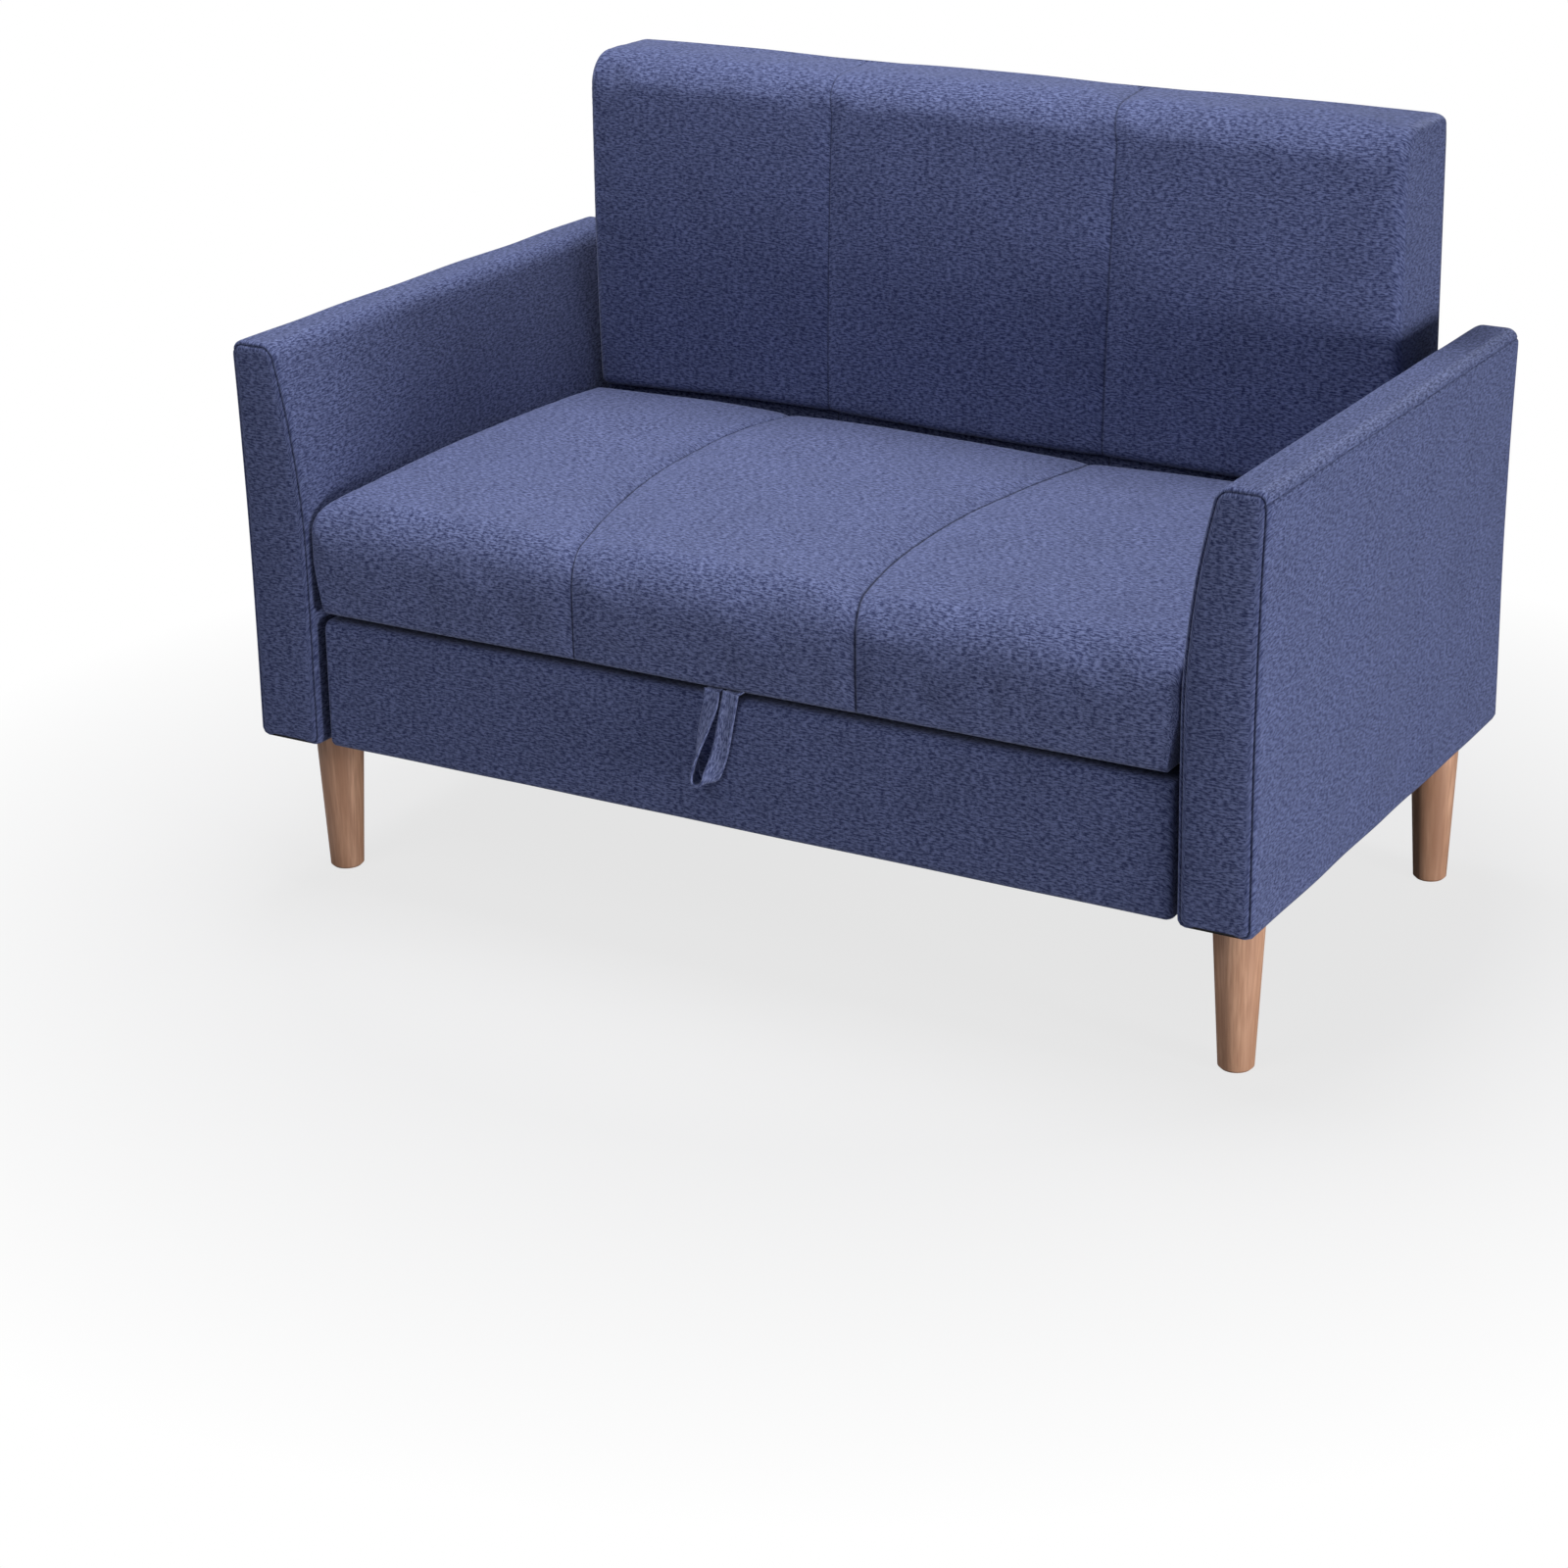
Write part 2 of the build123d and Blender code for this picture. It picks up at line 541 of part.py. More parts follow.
def make_pivots(frame_half, deck_top):
    """Bracket on the arm, pin, spacer bush and plate on the lid, at each end of the seat's rear."""
    bracket_x = (box_outer_x - BRACKET, box_outer_x)
    plate_x = (frame_half, frame_half + LID_PLATE)
    head_x = (frame_half - PIVOT_SIDE_GAP - PIN_HEAD, frame_half - PIVOT_SIDE_GAP)
    bush_x = (plate_x[1] + PIVOT_SIDE_GAP, bracket_x[0] - PIVOT_SIDE_GAP)
    bore = rod_x(PIN_RADIUS + RUN_GAP, (head_x[0], bracket_x[1] + OVERCUT), pivot_y, pivot_z)
    bracket = rod_x(BRACKET_ROUND, bracket_x, pivot_y, pivot_z)
    bracket += block(
        bracket_x,
        (pivot_y - BRACKET_ROUND, pivot_y + BRACKET_ROUND),
        (pivot_z - BRACKET_DROP, pivot_z),
    )
    plate = rod_x(LID_PLATE_ROUND, plate_x, pivot_y, pivot_z)
    plate += block(plate_x, (pivot_y - LID_PLATE_ROUND, seat_rear), (deck_top, pivot_z))
    plate += block(
        plate_x,
        (seat_rear - LID_PLATE_LENGTH, seat_rear),
        (SEAT_UNDERSIDE_Z + LID_PLATE_RISE, deck_top),
    )
    pin = rod_x(PIN_HEAD_RADIUS, head_x, pivot_y, pivot_z)
    pin += rod_x(PIN_RADIUS, (head_x[1], bracket_x[1]), pivot_y, pivot_z)
    add_pair("pivot_bracket", bracket - bore)
    add_pair("lid_plate", plate - bore)
    bush = rod_x(BUSH_RADIUS, bush_x, pivot_y, pivot_z) - bore
    add("pivot_bushes", bush, mirrored(bush))
    add("pivot_pins", pin, mirrored(pin))


def make_loop():
    """Pull loop that hangs from the seat's lower front edge, and the tabs that hold it."""
    outer = LOOP_WIDTH / 2
    inner = outer - LOOP_BAND
    hang_y = (front_y + LOOP_SETBACK, front_y + LOOP_SETBACK + LOOP_THICK)
    top = SEAT_UNDERSIDE_Z - LOOP_TAB + LOOP_THICK / 2
    turn_z = SEAT_UNDERSIDE_Z - LOOP_TAB - LOOP_DROP + outer
    strap = block(even(outer), hang_y, (turn_z, top)) + rod_y(outer, 0, hang_y, turn_z)
    gap_y = (hang_y[0] - OVERCUT, hang_y[1] + OVERCUT)
    strap -= block(even(inner), gap_y, (turn_z, top + OVERCUT))
    strap -= rod_y(inner, 0, gap_y, turn_z)
    upper = strap.faces().sort_by(Axis.Z)[-2:].edges().filter_by(Axis.X)
    add("pull_loop", fillet(upper, LOOP_THICK / 2 - RUN_GAP))
    tab = block(
        (inner, outer),
        (hang_y[1] + FIT_GAP, hang_y[1] + FIT_GAP + LOOP_TAB_LENGTH),
        (SEAT_UNDERSIDE_Z - LOOP_TAB, SEAT_UNDERSIDE_Z),
    )
    add("loop_tabs", tab, mirrored(tab))


def make_back():
    """Frame, panel board, channelled cushion and rear cover of the fixed back."""
    half = back_half - BACK_SIDE_FOAM
    board_y = (back_front + BACK_FOAM, back_front + BACK_FOAM + BACK_BOARD)
    frame_y = (board_y[1], rear_y - BACK_REAR_COVER)
    top = BACK_TOP_Z - BACK_TOP_FOAM
    base = SEAT_UNDERSIDE_Z + BACK_BASE_GAP
    inner = half - BACK_RAIL
    seat_rail = (base + BACK_SEAT_RAIL_RISE, base + BACK_SEAT_RAIL_RISE + BACK_RAIL)
    bolt_y = (frame_y[0], frame_y[0] + BACK_RAIL)
    mount_y = (box_rear + BOX_BOARD, frame_y[0])
    side = (BACK_SIDE_ROUND, BACK_TUCK, BACK_EDGE_PUFF)
    cushion = channelled(back_section, back_half, BACK_SEAM_X, *side)
    cushion -= block(
        even(back_half + OVERCUT),
        (seat_rear, back_front + BACK_RECESS),
        (base - OVERCUT, seat_top + BACK_RECESS_RISE),
    )
    cushion -= block(
        even(half + FIT_GAP),
        (board_y[0] - FIT_GAP, rear_y),
        (base - OVERCUT, top + FIT_GAP),
    )
    bolt_rail = block(even(inner), bolt_y, bolt_rail_z)
    mount_rail = block(even(half - MOUNT_RAIL_INSET), mount_y, bolt_rail_z)
    through = (box_rear, rear_y)
    for x in back_bolt_xs():
        bolt_rail -= rod_y(TEE_BARREL_RADIUS + HOLE_GAP, x, through, bolt_z)
        mount_rail -= rod_y(BOLT_RADIUS + HOLE_GAP, x, through, bolt_z)
    add("back_cushion", cushion)
    add("back_panel", block(even(half), board_y, (base, top)))
    add_pair("back_stile", block((inner, half), frame_y, (board_base_z, top)))
    add("back_top_rail", block(even(inner), frame_y, (top - BACK_RAIL, top)))
    add("back_seat_rail", block(even(inner), frame_y, seat_rail))
    add("back_bottom_rail", block(even(inner), frame_y, (board_base_z, board_base_z + BACK_RAIL)))
    add("back_centre_stile", block(even(BACK_RAIL / 2), frame_y, (seat_rail[1], top - BACK_RAIL)))
    add("back_bolt_rail", bolt_rail)
    add("back_mount_rail", mount_rail)
    cover_z = (board_base_z, BACK_TOP_Z - BACK_PUFF)
    rear_cover = block(even(back_half), (frame_y[1], rear_y), cover_z)
    top_corners = rear_cover.edges().filter_by(Axis.Y).group_by(Axis.Z)[-1]
    add("back_rear_cover", fillet(top_corners, BACK_SIDE_ROUND))
    return bolt_y[1]


make_arms()
make_legs()
make_front_panel()
make_box()
make_bolts(make_back())
seat_frame_half, seat_deck_top = make_seat()
make_pivots(seat_frame_half, seat_deck_top)
make_loop()

os.makedirs("parts", exist_ok=True)
for name, solid in nodes.items():
    solid.label = name
    export_step(solid, f"parts/{name}.step")
print(len(nodes), "nodes written")
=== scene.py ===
# %% [markdown]
# # Dressing a two-seater storage sofa
# The construction of the sofa is already fixed: frames, boards, pivots and plain cushions are packed as a
# frame that nothing here may move. This lesson puts the upholstery over it. It makes the padded pieces with
# their seams and soft edges, the ribbon of the pull loop, the linings, the small fixings, and the materials.
# All lengths are metres, and the sofa faces -Y with its legs on Z = 0.

# %% Load the fixed frame
import json
import math

import bmesh
import bpy
import numpy as np
from mathutils import Matrix, Vector, noise
from mathutils.kdtree import KDTree


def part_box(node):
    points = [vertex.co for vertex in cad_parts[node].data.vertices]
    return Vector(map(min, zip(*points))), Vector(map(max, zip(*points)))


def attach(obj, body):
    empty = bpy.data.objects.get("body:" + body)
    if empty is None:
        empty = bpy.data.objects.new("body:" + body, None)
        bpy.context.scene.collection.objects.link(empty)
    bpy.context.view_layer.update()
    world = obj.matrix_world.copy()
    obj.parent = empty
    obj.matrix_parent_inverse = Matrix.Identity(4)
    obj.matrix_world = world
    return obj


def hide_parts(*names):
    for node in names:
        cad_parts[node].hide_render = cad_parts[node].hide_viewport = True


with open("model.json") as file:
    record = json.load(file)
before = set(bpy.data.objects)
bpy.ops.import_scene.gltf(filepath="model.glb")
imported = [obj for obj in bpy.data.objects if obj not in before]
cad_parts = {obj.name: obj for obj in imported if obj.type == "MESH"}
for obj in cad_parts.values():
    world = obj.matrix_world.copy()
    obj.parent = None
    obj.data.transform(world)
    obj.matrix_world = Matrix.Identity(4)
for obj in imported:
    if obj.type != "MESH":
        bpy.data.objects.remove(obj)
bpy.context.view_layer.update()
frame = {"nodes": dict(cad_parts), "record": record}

nodes = frame["nodes"]


def put(name, data):
    """A new object in the scene that shows the given data."""
    made = bpy.data.objects.new(name, data)
    bpy.context.collection.objects.link(made)
    return made


# %% [markdown]
# ## The camera
# A product photograph of a sofa is taken from a little above and to one side, with a long lens so that the
# edges stay almost parallel. The picture was cropped after it was taken, so its optical axis isn't in the
# middle. A lens shift gives the same crop without turning the camera, which would bend the uprights.

# %% Place the camera
CAMERA_AZIMUTH = math.radians(28.48)
CAMERA_ELEVATION = math.radians(17.98)
CAMERA_ROLL = math.radians(-0.29)
CAMERA_DISTANCE = 3.759
CAMERA_TARGET = Vector((0.0559, 0.0236, 0.3819))
PICTURE_PIXELS = 1600
FOCAL_PIXELS = 3633
AXIS_PIXEL_X = 955.3
AXIS_PIXEL_Y = 550.8
SENSOR_WIDTH = 36.0

backward = Vector((
    math.sin(CAMERA_AZIMUTH) * math.cos(CAMERA_ELEVATION),
    -math.cos(CAMERA_AZIMUTH) * math.cos(CAMERA_ELEVATION),
    math.sin(CAMERA_ELEVATION),
))
turn = backward.to_track_quat("Z", "Y").to_matrix().to_4x4()
camera_data = bpy.data.cameras.new("photo_camera")
camera_data.sensor_width = SENSOR_WIDTH
camera_data.lens = SENSOR_WIDTH * FOCAL_PIXELS / PICTURE_PIXELS
camera_data.shift_x = 0.5 - AXIS_PIXEL_X / PICTURE_PIXELS
camera_data.shift_y = AXIS_PIXEL_Y / PICTURE_PIXELS - 0.5
camera = put("photo_camera", camera_data)
camera.matrix_world = (
    Matrix.Translation(CAMERA_TARGET + backward * CAMERA_DISTANCE)
    @ turn
    @ Matrix.Rotation(CAMERA_ROLL, 4, "Z")
)
bpy.context.scene.camera = camera
print("camera at", [round(v, 3) for v in camera.matrix_world.translation])

# %% [markdown]
# ## Small tools for materials
# Every material is a node tree built in code. A few helpers keep those trees short: one turns an ordinary
# screen colour into the linear colour that the shaders use, one starts a material, one adds a node with its
# inputs set by name, and the others make the patterns that most of the materials share.

# %% Material helpers
NOISE_LOW = 0.3
NOISE_HIGH = 0.7


def tone(red, green, blue):
    """The linear colour of a screen colour with parts from 0 to 255."""
    parts = []
    for part in (red, green, blue):
        share = part / 255
        parts.append(share / 12.92 if share <= 0.04045 else ((share + 0.055) / 1.055) ** 2.4)
    return (*parts, 1.0)


def shader(name, roughness, specular=0.5):
    """A new material, its node tree and its surface node."""
    material = bpy.data.materials.new(name)
    material.use_nodes = True
    surface = material.node_tree.nodes["Principled BSDF"]
    surface.inputs["Roughness"].default_value = roughness
    surface.inputs["Specular IOR Level"].default_value = specular
    return material, material.node_tree, surface


def add(tree, kind, inputs=None, **settings):
    """A new node with its inputs set by name or number, linked where the value is a node's output."""
    made = tree.nodes.new(kind)
    for name, value in settings.items():
        setattr(made, name, value)
    for name, value in (inputs or {}).items():
        if isinstance(value, bpy.types.NodeSocket):
            tree.links.new(value, made.inputs[name])
        else:
            made.inputs[name].default_value = value
    return made


def stretched_noise(tree, where, stretch, detail=3.0, rough=0.6):
    """A noise whose grains are one over stretch long along each axis, spread over the range 0 to 1."""
    scaled = add(tree, "ShaderNodeMapping", {"Vector": where, "Scale": stretch})
    grains = add(tree, "ShaderNodeTexNoise", {
        "Vector": scaled.outputs["Vector"], "Scale": 1.0, "Detail": detail, "Roughness": rough})
    spread = add(tree, "ShaderNodeMapRange", {
        "Value": grains.outputs["Fac"], "From Min": NOISE_LOW, "From Max": NOISE_HIGH})
    return spread.outputs["Result"]


def mixed(tree, share, first, second):
    """A colour between two colours."""
    return add(tree, "ShaderNodeMix", {0: share, 6: first, 7: second}, data_type="RGBA").outputs[2]


def bumped(tree, surface, height, strength, depth):
    """Lets a height pattern tilt the surface's shading."""
    bump = add(tree, "ShaderNodeBump", {"Height": height, "Strength": strength, "Distance": depth})
    tree.links.new(bump.outputs["Normal"], surface.inputs["Normal"])

# %% [markdown]
# ## The cover fabric
# The cover is a heathered flat weave: every yarn is spun from dark and pale fibres, so short streaks of
# both lie side by side. A noise stretched along the weft makes the streaks, and a rounder one adds the
# slubs, the thick places in the yarn. A faint brick pattern, a few yarns long and one yarn high, stands for
# the floats of the weave. All of them follow the piece's own cloth map, which is laid in metres with the
# weft along U. A seam attribute on the mesh paints shade into the thin crease where two panels meet.
# The seat has a slightly paler copy of the cloth: painted light for its brightly lit top.

# %% Cover fabric
YARN_LENGTH = 0.0040
YARN_PITCH = 0.0011
YARN_SHARE = 0.3
WEFT_STRETCH = (150.0, 600.0, 1.0)
SLUB_STRETCH = (260.0, 230.0, 1.0)
SLUB_SHARE = 0.4
CLOUD_STRETCH = (14.0, 14.0, 1.0)
CLOTH_DARK = tone(34, 41, 79)
CLOTH_PALE = tone(105, 114, 155)
# The seat's copy of the cloth is paler: painted light for its brightly lit top.
SEAT_LIT_DARK = tone(36, 43, 82)
SEAT_LIT_PALE = tone(113, 122, 163)
# Painted shade that stands for the shadow in the crease of a seam.
SEAM_SHADOW_COLOUR = tone(14, 16, 34)


def cover_fabric(name, dark, pale):
    """A heathered weave that follows the cloth map, with painted shade in the seam creases."""
    material, tree, surface = shader(name, roughness=0.95, specular=0.2)
    surface.inputs["Sheen Weight"].default_value = 0.24
    surface.inputs["Sheen Roughness"].default_value = 0.45
    surface.inputs["Sheen Tint"].default_value = tone(206, 212, 230)
    where = add(tree, "ShaderNodeUVMap", uv_map="cloth").outputs["UV"]
    yarns = add(tree, "ShaderNodeTexBrick", {
        "Vector": where, "Color1": dark, "Color2": pale, "Mortar": dark, "Scale": 1.0,
        "Mortar Size": 0.00012, "Mortar Smooth": 0.8, "Bias": 0.0,
        "Brick Width": YARN_LENGTH, "Row Height": YARN_PITCH}, offset=0.43, offset_frequency=2)
    weft = stretched_noise(tree, where, WEFT_STRETCH, detail=2.0, rough=0.6)
    slub = stretched_noise(tree, where, SLUB_STRETCH, detail=1.0, rough=0.5)
    spun = add(tree, "ShaderNodeMath", {0: slub, 1: SLUB_SHARE, 2: weft}, operation="MULTIPLY_ADD")
    flecks = add(tree, "ShaderNodeMapRange", {
        "Value": spun.outputs["Value"], "From Min": 0.42, "From Max": 0.98}).outputs["Result"]
    woven = mixed(tree, YARN_SHARE, mixed(tree, flecks, dark, pale), yarns.outputs["Color"])
    clouds = stretched_noise(tree, where, CLOUD_STRETCH)
    level = add(tree, "ShaderNodeMapRange", {"Value": clouds, "To Min": 0.93, "To Max": 1.07})
    clouded = add(tree, "ShaderNodeHueSaturation", {"Color": woven, "Value": level.outputs["Result"]})
    # The seam attribute mixes painted crease shade into the weave.
    seam = add(tree, "ShaderNodeAttribute", attribute_name="seam").outputs["Fac"]
    sewn = mixed(tree, seam, clouded.outputs["Color"], SEAM_SHADOW_COLOUR)
    tree.links.new(sewn, surface.inputs["Base Color"])
    raised = add(tree, "ShaderNodeMath", {0: flecks, 1: yarns.outputs["Fac"]}, operation="SUBTRACT")
    bumped(tree, surface, raised.outputs["Value"], strength=0.06, depth=0.0005)
    return material


navy = cover_fabric("navy_weave", CLOTH_DARK, CLOTH_PALE)
# The seat's paler copy paints on the light that falls on its top.
navy_seat_lit = cover_fabric("navy_seat_lit_weave", SEAT_LIT_DARK, SEAT_LIT_PALE)
print("fabric", navy.name, "yarns", YARN_LENGTH * 1000, "by", YARN_PITCH * 1000, "mm")

# %% [markdown]
# ## Woods, boards and metal
# The legs are turned beech with the grain running down them, and the hidden frame is sawn pine and birch
# plywood. The storage box is board with a black grained foil. The fixings are black or zinc-plated steel,
# and the bushes are nylon. All of these patterns are procedural and read object coordinates, because those
# pieces are plain solids.

# %% Solid materials
RING_GRAIN = 70.0  # grains to a metre, across the fibres and along them
RING_GRAIN_ALONG = 5.0
PORE_GRAIN = 380.0
PORE_GRAIN_ALONG = 16.0
PORE_DARKNESS = 0.8


def timber(name, pale, dark, along, roughness, fineness=1.0):
    """Wood whose fibres run along one axis."""
    material, tree, surface = shader(name, roughness)
    where = add(tree, "ShaderNodeTexCoord").outputs["Object"]
    rings = [RING_GRAIN * fineness] * 3
    rings[along] = RING_GRAIN_ALONG
    pores = [PORE_GRAIN * fineness] * 3
    pores[along] = PORE_GRAIN_ALONG
    bands = stretched_noise(tree, where, rings, detail=3.0, rough=0.55)
    flecks = stretched_noise(tree, where, pores, detail=2.0, rough=0.5)
    share = add(tree, "ShaderNodeMath", {0: flecks, 1: PORE_DARKNESS}, operation="MULTIPLY")
    wood = mixed(tree, share.outputs["Value"], mixed(tree, bands, pale, dark), dark)
    tree.links.new(wood, surface.inputs["Base Color"])
    bumped(tree, surface, flecks, strength=0.15, depth=0.0003)
    return material


def grained(name, dark, pale, grain, roughness, metal=0.0):
    """A board, plated metal or moulded part with a fine grain."""
    material, tree, surface = shader(name, roughness)
    surface.inputs["Metallic"].default_value = metal
    where = add(tree, "ShaderNodeTexCoord").outputs["Object"]
    specks = stretched_noise(tree, where, grain, detail=3.0)
    tree.links.new(mixed(tree, specks, dark, pale), surface.inputs["Base Color"])
    bumped(tree, surface, specks, strength=0.25, depth=0.0002)
    return material


def even(grain):
    """The same grain along all three axes."""
    return (grain, grain, grain)


beech = timber("turned_beech", tone(216, 170, 140), tone(166, 121, 94), along=2, roughness=0.5)
pine = timber("sawn_pine", tone(214, 180, 128), tone(186, 142, 90), 0, roughness=0.75, fineness=0.6)
plywood = timber("birch_plywood", tone(206, 178, 136), tone(176, 142, 100), 0, roughness=0.7, fineness=0.8)
black_foil = grained("black_foil_board", tone(20, 20, 23), tone(36, 36, 40), (30.0, 400.0, 400.0), 0.55)
black_felt = grained("black_nonwoven", tone(15, 15, 18), tone(38, 38, 43), even(600.0), 0.95)
black_steel = grained("black_steel", tone(26, 26, 29), tone(38, 38, 42), even(900.0), 0.45, metal=0.6)
zinc = grained("zinc_steel", tone(164, 166, 170), tone(196, 198, 202), even(300.0), 0.35, metal=1.0)
nylon = grained("white_nylon", tone(206, 206, 200), tone(222, 222, 217), even(500.0), 0.5)

FINISHES = {
    "navy_fabric": navy, "black_lining": black_felt, "black_board": black_foil, "beech": beech, "pine": pine,
    "plywood": plywood, "black_steel": black_steel, "zinc_steel": zinc, "nylon": nylon,
}
for part in frame["record"]["subparts"]:
    for material_slot in nodes[part["node"]].material_slots:
        material_slot.material = FINISHES[part["material_slot"]]
print("finishes", len(FINISHES))

# %% [markdown]
# ## Soft forms from rings
# A boxed cushion is sewn from panels round a block of foam. Its skin can be laid as a row of rings: each ring
# is one slice through the cushion, made of four sides, and the slices lie close together near a seam so that
# the crease stays sharp. Two end patches, blended from the four sides of the last ring, close the form. All
# grids carry a cloth map in metres, measured along the surface, and a value of painted shade for the seam
# creases, and they are welded where their edges meet.

# %% Ring helpers
WELD = 2e-6
FINE_STEPS = (0.0006, 0.0012, 0.002, 0.0032, 0.005, 0.0075, 0.011, 0.016, 0.023)
STATION_STEP = 0.008
STATION_CLEAR = 0.004
END_STATIONS = 11
SEAM_REACH = 0.0013


def quarter(start, corner, end, count=16):
    """Points on the round that leaves one line at start and meets another at end."""
    start, corner, end = (np.array(point, float) for point in (start, corner, end))
    angle = np.linspace(0, math.pi / 2, count + 1)[:, None]
    return corner + (1 - np.sin(angle)) * (start - corner) + (1 - np.cos(angle)) * (end - corner)


def halves(curve):
    """A curve in two rows of points that share the middle one."""
    middle = len(curve) // 2
    return curve[: middle + 1], curve[middle:]


def measured(points):
    """How far along a row of points each one lies."""
    steps = np.linalg.norm(np.diff(points, axis=0), axis=1)
    return np.concatenate([[0.0], np.cumsum(steps)])


def sampled(values, lengths, at):
    """Rows of values read off at given distances along a path."""
    return np.stack([np.interp(at, lengths, column) for column in values.T], axis=1)


def spaced(points, count=None, at=None):
    """Points along a row of points, evenly or at given distances."""
    points = np.asarray(points, float)
    lengths = measured(points)
    if at is None:
        at = np.linspace(0, lengths[-1], count + 1)
    return sampled(points, lengths, at)


def stepped(corners, counts):
    """Points along straight runs between corners, with a count of steps for each run."""
    runs = [np.linspace(a, b, n + 1)[:-1] for a, b, n in zip(corners, corners[1:], counts)]
    return np.vstack(runs + [np.array([corners[-1]])])


def ring(sides):
    """Four sides, each ending where the next starts, as one closed row of points."""
    return np.vstack([side[:-1] for side in sides])


def patch(loop, tall, wide):
    """A grid that fills a ring, blended from its four sides."""
    up = loop[: tall + 1]
    over = loop[tall : tall + wide + 1]
    down = loop[tall + wide : 2 * tall + wide + 1][::-1]
    under = np.vstack([loop[2 * tall + wide :], loop[:1]])[::-1]
    u = np.linspace(0, 1, tall + 1)[:, None, None]
    v = np.linspace(0, 1, wide + 1)[None, :, None]
    rows = up[:, None] * (1 - v) + down[:, None] * v
    columns = under[None] * (1 - u) + over[None] * u
    corners = (1 - u) * ((1 - v) * up[0] + v * down[0]) + u * ((1 - v) * up[-1] + v * down[-1])
    return rows + columns - corners


def skin(rings, tall, wide, along, seams, swell=0.0, slots=None):
    """The grids of a form: its wall of rings, and a patch at each end that swells outwards."""
    closed = np.concatenate([rings, rings[:, :1]], axis=1)
    middle = tall + wide // 2
    rounds = np.stack([measured(loop) for loop in closed])
    steps = np.linalg.norm(np.diff(closed, axis=0), axis=-1)
    runs = np.vstack([np.zeros(closed.shape[1]), np.cumsum(steps, axis=0)])
    cloth = np.stack([runs - runs[len(runs) // 2], rounds - rounds[:, middle : middle + 1]], axis=-1)
    wall_slots = np.zeros(closed.shape[1] - 1, int) if slots is None else slots
    grids = [(closed, cloth, np.concatenate([seams, seams[:, :1]], axis=1), wall_slots)]
    flat = [axis for axis in range(3) if axis != along]
    for loop, sign in ((rings[0], -1), (rings[-1], 1)):
        grid = patch(loop, tall, wide)
        u = np.sin(np.linspace(0, math.pi, tall + 1))[:, None]
        v = np.sin(np.linspace(0, math.pi, wide + 1))[None]
        grid[..., along] += sign * swell * np.sqrt(np.abs(u * v))
        grids.append((grid, grid[..., flat], np.zeros(grid.shape[:2]), np.zeros(wide, int)))
    return grids


def quilt(name, grids, materials):
    """One welded mesh object from grids of points, with any open end closed."""
    rows_of = {"points": [], "cloth": [], "seams": [], "faces": [], "slots": []}
    start = 0
    for grid, uv, seam, column_slots in grids:
        rows, columns = grid.shape[:2]
        index = start + np.arange(rows * columns).reshape(rows, columns)
        quads = np.stack([index[:-1, :-1], index[1:, :-1], index[1:, 1:], index[:-1, 1:]], axis=-1)
        rows_of["points"].append(grid.reshape(-1, 3))
        rows_of["cloth"].append(uv.reshape(-1, 2))
        rows_of["seams"].append(seam.reshape(-1))
        rows_of["faces"].append(quads.reshape(-1, 4))
        rows_of["slots"].append(np.tile(column_slots, rows - 1))
        start += rows * columns
    points, cloth, seams, faces, slots = (np.concatenate(rows) for rows in rows_of.values())
    mesh = bpy.data.meshes.new(name)
    mesh.from_pydata(points.tolist(), [], faces.tolist())
    mesh.uv_layers.new(name="cloth").data.foreach_set("uv", cloth[faces.reshape(-1)].reshape(-1))
    # The seam attribute holds painted shade for the seam creases.
    mesh.attributes.new("seam", "FLOAT", "POINT").data.foreach_set("value", seams)
    mesh.polygons.foreach_set("material_index", slots)
    for material in materials:
        mesh.materials.append(material)
    shape = bmesh.new()
    shape.from_mesh(mesh)
    bmesh.ops.remove_doubles(shape, verts=shape.verts, dist=WELD)
    bmesh.ops.holes_fill(shape, edges=[edge for edge in shape.edges if edge.is_boundary])
    bmesh.ops.recalc_face_normals(shape, faces=shape.faces)
    shape.to_mesh(mesh)
    shape.free()
    mesh.polygons.foreach_set("use_smooth", [True] * len(mesh.polygons))
    return put(name, mesh)


def across(half, seam_x, rounding):
    """Stations from one end of a channelled cushion to the other, close together at its seams."""
    shoulder = half - rounding
    near = [seam_x + side * step for step in FINE_STEPS for side in (-1, 1)]
    clear = FINE_STEPS[-1] + STATION_CLEAR
    plain = [x for x in np.arange(0, shoulder, STATION_STEP) if abs(x - seam_x) > clear]
    ends = [shoulder + rounding * math.sin(angle) for angle in np.linspace(0, math.pi / 2, END_STATIONS)]
    right = sorted({round(x, 6) for x in [*plain, seam_x, *near, *ends]})
    return np.array([-x for x in right[:0:-1]] + right)


def seam_shadow_line(distance):
    """The painted shade in a seam's crease: one on the seam itself, nothing a little over a millimetre away.
    """
    return np.clip(1 - np.abs(distance) / SEAM_REACH, 0, 1)


def slow_noise(place, run, length, seed):
    """A random field from -1 to 1 over a slice's place and the distances along it."""
    return np.array([noise.noise(Vector((place / length, step / length, seed))) for step in run])


def mound(x, height, middle, width):
    """A smooth rise, highest at its middle."""
    return height * np.exp(-(((x - middle) / width) ** 2))


def eased(values, low, high):
    """Zero up to low, one from high on, and a smooth climb between them."""
    share = np.clip((values - low) / (high - low), 0, 1)
    return share**2 * (3 - 2 * share)


def outward(loop):
    """Unit normals of a closed row of (across, up) points that runs up, over and down."""
    run = np.roll(loop, -1, axis=0) - np.roll(loop, 1, axis=0)
    run /= np.maximum(np.linalg.norm(run, axis=1, keepdims=True), 1e-9)
    return np.stack([-run[:, 1], run[:, 0]], axis=1)


def in_space(loop, along, place):
    """A ring of flat points as points in space, at its place along an axis."""
    return np.insert(loop, along, place, axis=1)

